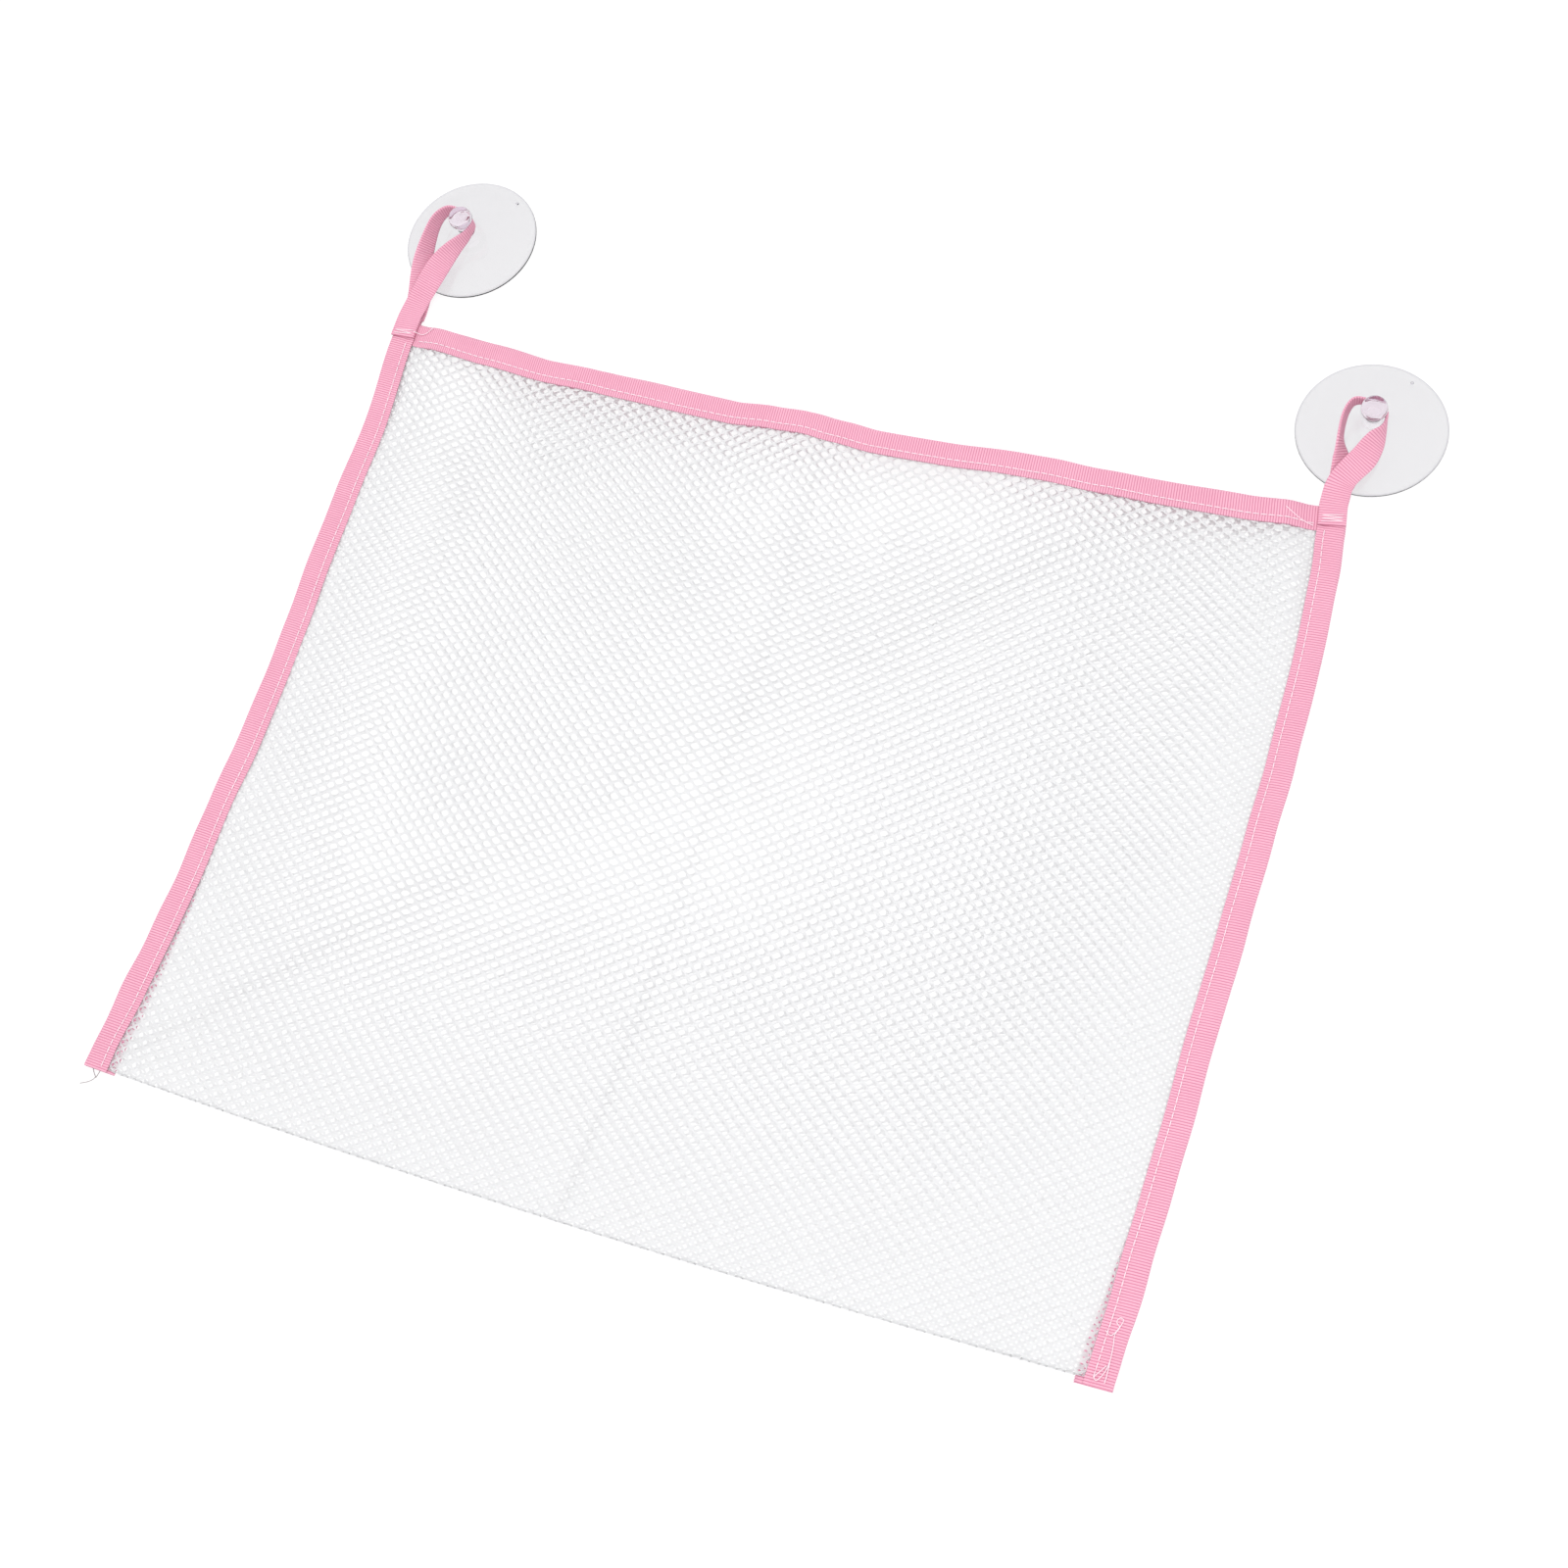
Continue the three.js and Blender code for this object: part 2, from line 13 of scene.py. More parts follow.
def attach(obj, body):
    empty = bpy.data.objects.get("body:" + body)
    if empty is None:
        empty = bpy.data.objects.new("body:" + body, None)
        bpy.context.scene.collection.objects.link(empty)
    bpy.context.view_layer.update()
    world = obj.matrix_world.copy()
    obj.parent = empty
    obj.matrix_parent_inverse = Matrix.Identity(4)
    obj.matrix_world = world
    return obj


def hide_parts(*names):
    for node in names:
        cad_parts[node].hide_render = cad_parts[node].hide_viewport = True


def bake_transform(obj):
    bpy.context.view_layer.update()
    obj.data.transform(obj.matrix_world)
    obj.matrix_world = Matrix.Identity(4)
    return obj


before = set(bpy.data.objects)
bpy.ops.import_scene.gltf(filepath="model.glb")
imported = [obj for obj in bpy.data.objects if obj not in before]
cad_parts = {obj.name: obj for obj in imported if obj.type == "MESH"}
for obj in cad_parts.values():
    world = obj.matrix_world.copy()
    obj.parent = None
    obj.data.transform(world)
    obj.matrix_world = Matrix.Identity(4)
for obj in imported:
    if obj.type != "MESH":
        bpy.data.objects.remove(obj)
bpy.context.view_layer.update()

# %% [markdown]
# ## How the cloth lies
# A flat pattern point is (u, v) in millimetres: u runs along the mouth from the left edge, v from
# the bottom fold to the mouth. Laying the bag on the table bows its sides a little to the right
# and lets the long edges sag, and each taped edge wanders by a millimetre or two. One map does all
# of this for the nets, the tapes and the seams, so they stay sewn together. A simulated cloth would
# fall in its own way, not in the photograph's. Last, a shift takes millimetres to the frame's metres.

# %% Sizes of the bag and how its edges wander
MM = 0.001
SHIFT = np.array([-219.05, -210.6625, 0.0])
WIDTH, HEIGHT = 420.0, 350.0
TAPE, LEAF = 11.0, 0.5
BINDING, BACK_LEVEL, FRONT_LEVEL = 2.1, 1.05, 2.4
FOLD_RADIUS = 0.675
SIDE_BOW, FOLD_SAG, BACK_SAG, FRONT_SAG = 6.0, 4.0, 6.5, 12.5
# How far each taped edge lies outside its plain curve, as (place along the edge, size).
LEFT_OUT = [(0, 0.6), (10, 1.0), (30, 0.0), (80, -0.7), (118, 0.4), (142, -0.7), (170, -0.5),
            (200, 0.2), (230, 1.3), (265, 1.0), (300, -0.3), (335, 0.4), (352, 0)]
RIGHT_OUT = [(0, 1.6), (20, 1.2), (50, 0.2), (90, -0.4), (130, -1.3), (170, -0.7), (210, 0.1),
             (240, 1.2), (290, 2.2), (320, 2.0), (338, 1.0), (352, 0)]
MOUTH_OUT = [(24, 0), (50, -1.2), (80, -2.8), (105, -1.8), (130, -1.2), (165, -0.8), (185, 1.2),
             (198, 2.0), (212, 1.0), (230, -0.3), (260, 0.0), (285, 1.0), (300, 0.8), (325, -0.8),
             (345, -1.2), (380, -0.8), (400, 0)]
# How far into the bag the cloth goes along with a side, and from where up with the mouth.
SIDE_ALONG, MOUTH_ALONG_FROM, MOUTH_ALONG = 120.0, 250.0, 85.0
print("bag in mm:", WIDTH, "x", HEIGHT, "with tape", TAPE)


# %% The laying map
def smooth(x):
    """0 below 0, 1 above 1, and an S curve of no slope at both ends between them."""
    x = np.clip(x, 0.0, 1.0)
    return x * x * (3.0 - 2.0 * x)


def mix(a, b, share):
    """a where share is 0, b where it is 1."""
    return a + (b - a) * share


def wander(place, knots):
    """A soft line through knots of (place, size): an S curve leads from each knot to the next."""
    at, size = np.array(knots).T
    i = np.clip(np.searchsorted(at, place) - 1, 0, len(at) - 2)
    return mix(size[i], size[i + 1], smooth((place - at[i]) / (at[i + 1] - at[i])))


def from_sides(u):
    """How far a place lies in from the nearer side."""
    return np.minimum(u, WIDTH - u)


def joined(*parts):
    """Coordinates that may differ in shape, spread to one shape and put side by side."""
    return np.stack(np.broadcast_arrays(*parts), -1)


def lay(u, v, z, sag):
    """Pattern to table: x gains a parabola of v, y loses a parabola of u that grows with v. Each
    taped edge also wanders in or out, and the cloth beside it goes along less and less."""
    u, v = np.asarray(u, float), np.asarray(v, float)
    t, s = np.clip(v / HEIGHT, 0.0, 1.0), u / WIDTH
    x = u + SIDE_BOW * 4.0 * t * (1.0 - t)
    y = v - mix(FOLD_SAG, sag, t) * 4.0 * s * (1.0 - s)
    left, right = wander(v, LEFT_OUT), wander(v, RIGHT_OUT)
    x = x - left * smooth(1 - u / SIDE_ALONG) + right * smooth(1 - (WIDTH - u) / SIDE_ALONG)
    y = y + wander(u, MOUTH_OUT) * smooth((v - MOUTH_ALONG_FROM) / MOUTH_ALONG)
    return joined(x, y, z)


def to_frame(point):
    """A pattern point in the frame's metres."""
    return tuple((np.asarray(point, float) + SHIFT) * MM)


print("bag corners in the frame:", to_frame((0, 0, 0)), to_frame((WIDTH, HEIGHT, 0)))

# %% [markdown]
# ## The camera
# The photograph looks down steeply, a little from the right and from the bottom fold's side. Matching the
# corners, edges and cups of the model to the picture gave this place, these axes and this lens.

# %% Camera
EYE = (0.25043, -0.2802, 0.80765)
RIGHT = (0.9354, 0.30873, -0.17236)
UP = (-0.23428, 0.90626, 0.35185)
AHEAD = (-0.26483, 0.28874, -0.92005)
FOCAL_PIXELS, IMAGE_PIXELS, SENSOR = 2265.84, 1600, 36.0

camera_data = bpy.data.cameras.new("camera")
camera_data.sensor_width = SENSOR
camera_data.lens = FOCAL_PIXELS * SENSOR / IMAGE_PIXELS
camera = bpy.data.objects.new("camera", camera_data)
bpy.context.scene.collection.objects.link(camera)
measured = np.array([RIGHT, UP, np.negative(AHEAD)]).T
axes = np.linalg.qr(measured)[0]
axes *= np.sign(np.einsum("ij,ij->j", axes, measured))
pose = np.eye(4)
pose[:3, :3], pose[:3, 3] = axes, EYE
camera.matrix_world = Matrix(pose.tolist())
bpy.context.scene.camera = camera
print("lens in mm:", round(camera_data.lens, 2))

# %% [markdown]
# ## Mesh helpers
# Every new piece is a grid of points, rows along the piece and columns across it. The index
# arrays for its faces are worked out once for the whole grid. A map called "cloth" keeps the
# pattern position of each point in millimetres, so that a weave follows the piece when it bends.

# %% Faces of grids and tubes
def grid_faces(rows, columns, closed):
    """Quads of a grid of points numbered row by row. closed joins the last column to the first."""
    i = np.arange(rows - 1)[:, None] * columns
    j = np.arange(columns if closed else columns - 1)[None, :]
    k = (j + 1) % columns
    return np.stack([i + j, i + k, i + columns + k, i + columns + j], -1).reshape(-1, 4)


def end_caps(rows, columns):
    """The first and last row of a closed tube as one polygon each, facing away from the tube."""
    first = np.arange(columns)[::-1][None, :]
    return np.concatenate([first, (rows - 1) * columns + np.arange(columns)[None, :]])


def outward(points, faces):
    """The faces turned round if the volume they enclose comes out negative."""
    volume = 0.0
    for f in faces:
        a, b, c = points[f[:, 0]], points[f[:, 1]], points[f[:, 2]]
        volume += np.einsum("ij,ij->", a, np.cross(b, c))
        if f.shape[1] == 4:
            d = points[f[:, 3]]
            volume += np.einsum("ij,ij->", a, np.cross(c, d))
    return [f[:, ::-1] for f in faces] if volume < 0 else faces


print("quads of a closed 3 x 4 grid:", len(grid_faces(3, 4, True)))


# %% Arrays into meshes
def make_piece(name, points, faces, cloth, material):
    """A mesh object from whole arrays: points in pattern millimetres, faces as one index array
    for each face size, and the cloth map for each point."""
    corner = np.concatenate([f.ravel() for f in faces])
    size = np.concatenate([np.full(len(f), f.shape[1]) for f in faces])
    mesh = bpy.data.meshes.new(name)
    mesh.vertices.add(len(points))
    mesh.vertices.foreach_set("co", ((points + SHIFT) * MM).astype(np.float32).ravel())
    mesh.loops.add(len(corner))
    mesh.loops.foreach_set("vertex_index", corner.astype(np.int32))
    mesh.polygons.add(len(size))
    mesh.polygons.foreach_set("loop_start", (np.cumsum(size) - size).astype(np.int32))
    mesh.polygons.foreach_set("use_smooth", np.ones(len(size), bool))
    mesh.update(calc_edges=True)
    layer = mesh.uv_layers.new(name="cloth")
    layer.uv.foreach_set("vector", cloth[corner].astype(np.float32).ravel())
    mesh.materials.append(material)
    piece = bpy.data.objects.new(name, mesh)
    bpy.context.scene.collection.objects.link(piece)
    triangles = int((size - 2).sum())
    print(name, "points", len(points), "triangles", triangles)
    return piece


def tube(points, cloth):
    """Points, faces and map of a closed tube given as rows x columns x 3, with both ends shut."""
    rows, columns = points.shape[:2]
    flat = points.reshape(-1, 3)
    cloth = np.broadcast_to(cloth, (rows, columns, 2)).reshape(-1, 2)
    sides = grid_faces(rows, columns, True)
    turned = outward(flat, [sides])[0]
    caps = end_caps(rows, columns)
    return flat, [turned, caps if turned is sides else caps[:, ::-1]], cloth


# %% [markdown]
# ## Finishes
# The bag has five: white knitted net, pink ribbed tape, paler pink thread, a darker one for the loose
# ends on the table, and clear soft plastic.
# Yarn and tape share one effect, fine fuzzy fibres that break up colour and light, so that is a node group.
# The ribs themselves are modelled, and the tape's material adds on them the weave, warp threads that cross
# each rib, the slow colour drift of dyed cloth, and painted shade in the troughs between the ribs.

# %% Nodes and materials
def add_node(tree, kind, values=None, **settings):
    """A node with its settings. Each input, by name or number, gets a value or another node's output."""
    node = tree.nodes.new(kind)
    for key, value in settings.items():
        setattr(node, key, value)
    for key, value in (values or {}).items():
        if isinstance(value, bpy.types.NodeSocket):
            tree.links.new(value, node.inputs[key])
        else:
            node.inputs[key].default_value = value
    return node


def new_material(name, values):
    """A material with one Principled shader and the plain numbers set on its own sockets."""
    material = bpy.data.materials.new(name)
    material.use_nodes = True
    shader = material.node_tree.nodes["Principled BSDF"]
    for key, value in values.items():
        shader.inputs[key].default_value = value
    return material, material.node_tree, shader


# %% Fibres that yarn and tape share
FINE_SHARE = 0.45


def fibre_group():
    """Cloth fibres: a colour that wanders between two tones, and a height of fine fuzz. The share of
    the light tone is part fine noise and part slow noise, and the height is the fine noise."""
    tree = bpy.data.node_groups.new("cloth_fibres", "ShaderNodeTree")
    for name, kind in (("Vector", "NodeSocketVector"), ("Deep", "NodeSocketColor"),
                       ("Light", "NodeSocketColor"), ("Drift", "NodeSocketFloat"),
                       ("Fibre", "NodeSocketFloat")):
        tree.interface.new_socket(name, in_out="INPUT", socket_type=kind)
    for name, kind in (("Color", "NodeSocketColor"), ("Height", "NodeSocketFloat")):
        tree.interface.new_socket(name, in_out="OUTPUT", socket_type=kind)
    given = tree.nodes.new("NodeGroupInput").outputs
    slow = add_node(tree, "ShaderNodeTexNoise", {
        "Vector": given["Vector"], "Scale": given["Drift"], "Detail": 2.0})
    fine = add_node(tree, "ShaderNodeTexNoise", {
        "Vector": given["Vector"], "Scale": given["Fibre"], "Detail": 3.0, "Roughness": 0.65})
    rest = add_node(tree, "ShaderNodeMath", {0: slow.outputs["Fac"], 1: 1 - FINE_SHARE},
                    operation="MULTIPLY")
    both = add_node(tree, "ShaderNodeMath", {
        0: fine.outputs["Fac"], 1: FINE_SHARE, 2: rest.outputs[0]}, operation="MULTIPLY_ADD")
    tone = add_node(tree, "ShaderNodeMix", {
        "Factor": both.outputs[0], "A": given["Deep"], "B": given["Light"]}, data_type="RGBA")
    add_node(tree, "NodeGroupOutput", {"Color": tone.outputs["Result"], "Height": fine.outputs["Fac"]})
    return tree


FIBRES = fibre_group()
print("shared group:", FIBRES.name)


def add_fibres(tree, vector, deep, light, drift, fibre):
    """The fibre group in a material, with its own tones and scales."""
    return add_node(tree, "ShaderNodeGroup", {
        "Vector": vector, "Deep": (*deep, 1), "Light": (*light, 1), "Drift": drift, "Fibre": fibre},
        node_tree=FIBRES)


def add_bump(tree, shader, height, strength, distance):
    """A height in a Bump node that feeds the shader's normal."""
    bump = add_node(tree, "ShaderNodeBump", {
        "Strength": strength, "Distance": distance, "Height": height})
    tree.links.new(bump.outputs["Normal"], shader.inputs["Normal"])


def ramp(tree, value, low, high, at_low, at_high):
    """at_low up to low, at_high from high on, and a straight line between them."""
    return add_node(tree, "ShaderNodeMapRange", {
        0: value, 1: low, 2: high, 3: at_low, 4: at_high}).outputs[0]


# %% White net yarn and pale thread
YARN_DRIFT, YARN_FIBRE = 30.0, 1800.0
YARN_BUMP, YARN_DEPTH = 0.5, 0.0002


def yarn_material(name, deep, light, roughness, through):
    """Spun yarn: fibres on object coordinates, and a share of the light that passes through."""
    material, tree, shader = new_material(name, {"Roughness": roughness, "Sheen Weight": 0.2})
    place = add_node(tree, "ShaderNodeTexCoord")
    fibres = add_fibres(tree, place.outputs["Object"], deep, light, YARN_DRIFT, YARN_FIBRE)
    tree.links.new(fibres.outputs["Color"], shader.inputs["Base Color"])
    add_bump(tree, shader, fibres.outputs["Height"], YARN_BUMP, YARN_DEPTH)
    thin = add_node(tree, "ShaderNodeBsdfTranslucent", {"Color": (*light, 1)})
    both = add_node(tree, "ShaderNodeMixShader", {
        0: through, 1: shader.outputs[0], 2: thin.outputs[0]})
    tree.links.new(both.outputs[0], tree.nodes["Material Output"].inputs["Surface"])
    return material


NET_YARN = yarn_material("net_yarn", (0.842, 0.842, 0.852), (0.892, 0.892, 0.897),
                         roughness=0.42, through=0.6)
THREAD = yarn_material("sewing_thread", (0.84, 0.62, 0.70), (0.96, 0.80, 0.86),
                       roughness=0.5, through=0.1)
LOOSE_THREAD = yarn_material("loose_thread", (0.34, 0.30, 0.31), (0.48, 0.43, 0.44),
                             roughness=0.5, through=0.1)
print("yarn finishes:", NET_YARN.name, THREAD.name, LOOSE_THREAD.name)

# %% Pink ribbed tape
RIB = 1.05
WARP = 0.42
# The groove tone, at its share, is painted shade in the troughs between the ribs.
TAPE_DEEP, TAPE_LIGHT, TAPE_GROOVE_SHADE = (0.695, 0.32, 0.43), (0.815, 0.445, 0.555), (0.50, 0.135, 0.235)
TAPE_DRIFT, TAPE_FIBRE = 0.06, 3.0
GROOVE_SHADE_SHARE, WEAVE_SHARE = 0.8, 0.12
TAPE_BUMP, TAPE_DEPTH = 0.45, 0.00025


def wave(tree, value, pitch):
    """A cosine of a value with that pitch, from -1 to 1."""
    turns = add_node(tree, "ShaderNodeMath", {0: value, 1: 2 * np.pi / pitch}, operation="MULTIPLY")
    return add_node(tree, "ShaderNodeMath", {0: turns.outputs[0]}, operation="COSINE").outputs[0]


def tape_material():
    """Ribbed tape: dyed fibres, with painted shade that darkens them where the rib wave is low, in the
    troughs between the ribs. The height is the fibres' plus a share of the rib wave times the wave of the
    warp threads that cross each rib."""
    material, tree, shader = new_material("ribbed_tape", {
        "Roughness": 0.62, "Sheen Weight": 0.3, "Sheen Tint": (1.0, 0.55, 0.7, 1.0)})
    cloth = add_node(tree, "ShaderNodeUVMap", uv_map="cloth").outputs["UV"]
    parts = add_node(tree, "ShaderNodeSeparateXYZ", {0: cloth})
    fibres = add_fibres(tree, cloth, TAPE_DEEP, TAPE_LIGHT, TAPE_DRIFT, TAPE_FIBRE)
    rib = wave(tree, parts.outputs["X"], RIB)
    warp = wave(tree, parts.outputs["Y"], WARP)
    weave = add_node(tree, "ShaderNodeMath", {0: rib, 1: warp}, operation="MULTIPLY")
    # Painted shade: the colour darkens towards the groove tone in the troughs of the rib wave.
    dark = add_node(tree, "ShaderNodeMix", {
        "Factor": ramp(tree, rib, -1.0, 0.2, GROOVE_SHADE_SHARE, 0.0), "A": fibres.outputs["Color"],
        "B": (*TAPE_GROOVE_SHADE, 1)}, data_type="RGBA")
    tree.links.new(dark.outputs["Result"], shader.inputs["Base Color"])
    height = add_node(tree, "ShaderNodeMath", {
        0: weave.outputs[0], 1: WEAVE_SHARE, 2: fibres.outputs["Height"]}, operation="MULTIPLY_ADD")
    add_bump(tree, shader, height.outputs[0], TAPE_BUMP, TAPE_DEPTH)
    return material


TAPE_PINK = tape_material()
print("tape finish:", TAPE_PINK.name)

# %% Clear soft plastic
# The thin tone is the plastic's own faint lilac. The head tone is that lilac plus a painted pink of the
# tape seen through the neck and head, and the edge tone is painted shade.
CUP_THIN, CUP_HEAD_PINK, CUP_EDGE_SHADE = (0.915, 0.91, 0.925), (0.88, 0.72, 0.85), (0.58, 0.57, 0.62)
# Where the painted rim shade comes in on the way out, how much, and between which heights the painted pink
# of the neck and head comes in.
RIM_BAND, RIM_SHADE_SHARE, NECK_BAND = (28.9, 29.8), 0.55, (6.0, 15.0)
LOOK_BLEND, LOOK_POWER = 0.4, 1.6


def cup_material():
    """Clear soft plastic, faintly lilac. In the neck and head its lilac is joined by a painted pink of the
    tape seen through them. Painted shade darkens it where the eye looks along its surface, and at the rim.
    The map gives the way out from the middle and the height."""
    material, tree, shader = new_material("clear_soft_plastic", {
        "Roughness": 0.05, "IOR": 1.47, "Transmission Weight": 1.0, "Specular IOR Level": 0.5})
    # Painted edge shade: the colour darkens where the eye looks along the surface.
    look = add_node(tree, "ShaderNodeLayerWeight", {"Blend": LOOK_BLEND})
    steep = add_node(tree, "ShaderNodeMath", {0: look.outputs["Facing"], 1: LOOK_POWER}, operation="POWER")
    cloth = add_node(tree, "ShaderNodeUVMap", uv_map="cloth")
    parts = add_node(tree, "ShaderNodeSeparateXYZ", {0: cloth.outputs["UV"]})
    # Painted shade at the rim.
    rim = ramp(tree, parts.outputs["X"], *RIM_BAND, 0.0, RIM_SHADE_SHARE)
    # The neck and head take the plastic's lilac and a painted pink of the tape seen through them.
    plastic = add_node(tree, "ShaderNodeMix", {
        "Factor": ramp(tree, parts.outputs["Y"], *NECK_BAND, 0.0, 1.0),
        "A": (*CUP_THIN, 1), "B": (*CUP_HEAD_PINK, 1)}, data_type="RGBA")
    most = add_node(tree, "ShaderNodeMath", {0: steep.outputs[0], 1: rim}, operation="MAXIMUM")
    tint = add_node(tree, "ShaderNodeMix", {
        "Factor": most.outputs[0], "A": plastic.outputs["Result"], "B": (*CUP_EDGE_SHADE, 1)},
        data_type="RGBA")
    tree.links.new(tint.outputs["Result"], shader.inputs["Base Color"])
    return material


CUP_CLEAR = cup_material()
print("cup finish:", CUP_CLEAR.name)

# %% [markdown]
# ## The net
# The real net is knitted: strands meet at knots in staggered rows and leave rounded diamonds. It
# could be a picture with holes, but then it has no thickness and its edges look cut from paper.
# Here each hole is a small ring of yarn. A ring reaches from its rounded hole to the ridge line
# that it shares with its four neighbours, so twenty-four triangles give one hole, and ten
# thousand rings give one layer. One sheet makes both layers, with a fold along the bottom.

# %% Net pattern
HOLE_COLUMNS, HOLE_ROWS = 132, 144
NET_FROM, NET_TO, NET_TOP = 4.0, 416.0, 347.0
HOLE_WIDE, HOLE_HIGH, HOLE_POWER = 0.66, 0.645, 1.45
YARN_HALF = 0.2
STEP_U = (NET_TO - NET_FROM) / HOLE_COLUMNS
STEP_W = NET_TOP / HOLE_ROWS
print("one hole in mm:", round(2 * STEP_U, 2), "x", round(2 * STEP_W, 2))


def ring_sheet(columns, rows):
    """Flat net rings on staggered lattice places (column, row): ridge points are the four lattice
    neighbours, and eight hole points follow a rounded diamond round the middle. Returns lattice
    coordinates, the ridge side (1 up, -1 down, 0 on the hole's rim) and triangles."""
    c, r = np.meshgrid(columns, rows, indexing="ij")
    keep = (c + r) % 2 == 0
    middle = np.stack([c[keep], r[keep]], -1)
    knots = middle[:, None, :] + np.array([[1, 0], [0, 1], [-1, 0], [0, -1]])
    ridge, index = np.unique(knots.reshape(-1, 2), axis=0, return_inverse=True)
    index = index.reshape(-1, 4)
    turn = np.arange(8) * np.pi / 4
    power = 2.0 / HOLE_POWER
    rim = np.stack([HOLE_WIDE * np.sign(np.cos(turn)) * np.abs(np.cos(turn)) ** power,
                    HOLE_HIGH * np.sign(np.sin(turn)) * np.abs(np.sin(turn)) ** power], -1)
    holes = (middle[:, None, :] + rim).reshape(-1, 2)
    count = len(ridge)
    hole = 2 * count + np.arange(len(middle))[:, None] * 8 + np.arange(8)[None, :]
    triangles = []
    for k in range(4):
        a, b = index[:, k], index[:, (k + 1) % 4]
        before, own, after = hole[:, 2 * k - 1], hole[:, 2 * k], hole[:, 2 * k + 1]
        low_a, low_b = a + count, b + count
        triangles += [np.stack(t, -1) for t in (
            (a, after, own), (a, own, before), (a, b, after),
            (low_a, own, after), (low_a, before, own), (low_b, low_a, after))]
    lattice = np.concatenate([ridge, ridge, holes])
    side = np.concatenate([np.ones(count), -np.ones(count), np.zeros(len(holes))])
    return lattice, side, np.concatenate(triangles)


def close_border(side_count, triangles):
    """Walls between the upper and lower ridge line wherever a ridge edge has one ring only."""
    edges = np.concatenate([triangles[:, [0, 1]], triangles[:, [1, 2]], triangles[:, [2, 0]]])
    upper = edges[(edges < side_count).all(1)]
    key = np.sort(upper, axis=1)
    _, first, uses = np.unique(key, axis=0, return_index=True, return_counts=True)
    open_edge = upper[first[uses == 1]]
    a, b = open_edge[:, 0], open_edge[:, 1]
    return np.stack([b, a, a + side_count, b + side_count], -1)


# %% Heights of both layers
# Each height or length below is in millimetres. A pair is where a change starts and over what run.
SEAM_IN, SLOT_MOUTH, FRONT_SEAM_RUN, BACK_SEAM_RUN = 10.5, 11.5, 7.0, 14.0
SWELL, SWELL_IN, SWELL_UP = 8.0, 90.0, 170.0
CLIMB, CLIMB_FROM, CLIMB_RUN = 2.46, 266.7, 71.8
SEWN_FRONT, SEWN_BACK = 1.0, 0.62
CORNER_FROM, CORNER_RUN = 310.0, 28.0
LIFT, LIFT_IN, LIFT_FROM, LIFT_RUN = 0.75, 44.0, 314.6, 23.9
RISE, RISE_IN, RISE_FADE = 1.5, 50.0, 100.0
FRONT_END, BACK_END, END_RUN = 2.42, 1.16, 13.0
MOUTH_FROM, MOUTH_RUN = 318.0, 18.0


def front_level(u, v):
    """Height of the front layer: it leaves the side seams, swells into a low belly that grows
    towards the mouth, climbs over the back tape along the mouth and dives under the side tapes."""
    inward = from_sides(u)
    swell = SWELL * smooth((inward - TAPE) / SWELL_IN) * smooth(v / SWELL_UP)
    climb = CLIMB * smooth((v - CLIMB_FROM) / CLIMB_RUN)
    high = FRONT_LEVEL + swell + climb
    seam = mix(SEWN_FRONT, FRONT_LEVEL, smooth((v - CORNER_FROM) / CORNER_RUN))
    return mix(seam, high, smooth((inward - SEAM_IN) / FRONT_SEAM_RUN))


def back_level(u, v):
    """Height of the back layer: flat, a little higher where the mouth tape ends lie in the side tapes."""
    inward = from_sides(u)
    fade = np.clip(1 - (inward - SLOT_MOUTH) / LIFT_IN, 0, 1)
    lift = LIFT * fade * np.clip((v - LIFT_FROM) / LIFT_RUN, 0, 1)
    seam = mix(SEWN_BACK, BACK_LEVEL, smooth((inward - SEAM_IN) / BACK_SEAM_RUN))
    return seam + lift


def back_rise(u, v):
    """How far the back layer is drawn up towards the mouth, so that the front tape covers its tape."""
    inward = from_sides(u)
    share = smooth((inward - TAPE) / RISE_IN) * (1 - smooth((inward - RISE_FADE) / RISE_FADE))
    return RISE * share * np.clip(v / HEIGHT, 0.0, 1.0)


def mouth_level(u, front):
    """Height of a mouth tape's middle: its ends lie inside the side tapes."""
    inward = from_sides(u)
    inside = FRONT_END if front else BACK_END
    level = front_level(u, HEIGHT) if front else back_level(u, HEIGHT)
    return mix(inside, level, smooth((inward - TAPE) / END_RUN))


def into_mouth(v):
    """0 on the open net, 1 where the net's edge lies in the mouth tape."""
    return smooth((v - MOUTH_FROM) / MOUTH_RUN)


print("front layer's height in the middle in mm:", round(float(front_level(WIDTH / 2, HEIGHT / 2)), 2))

# %% The folded sheet
RIPPLE, RIPPLE_RUN = 0.3, 40.0


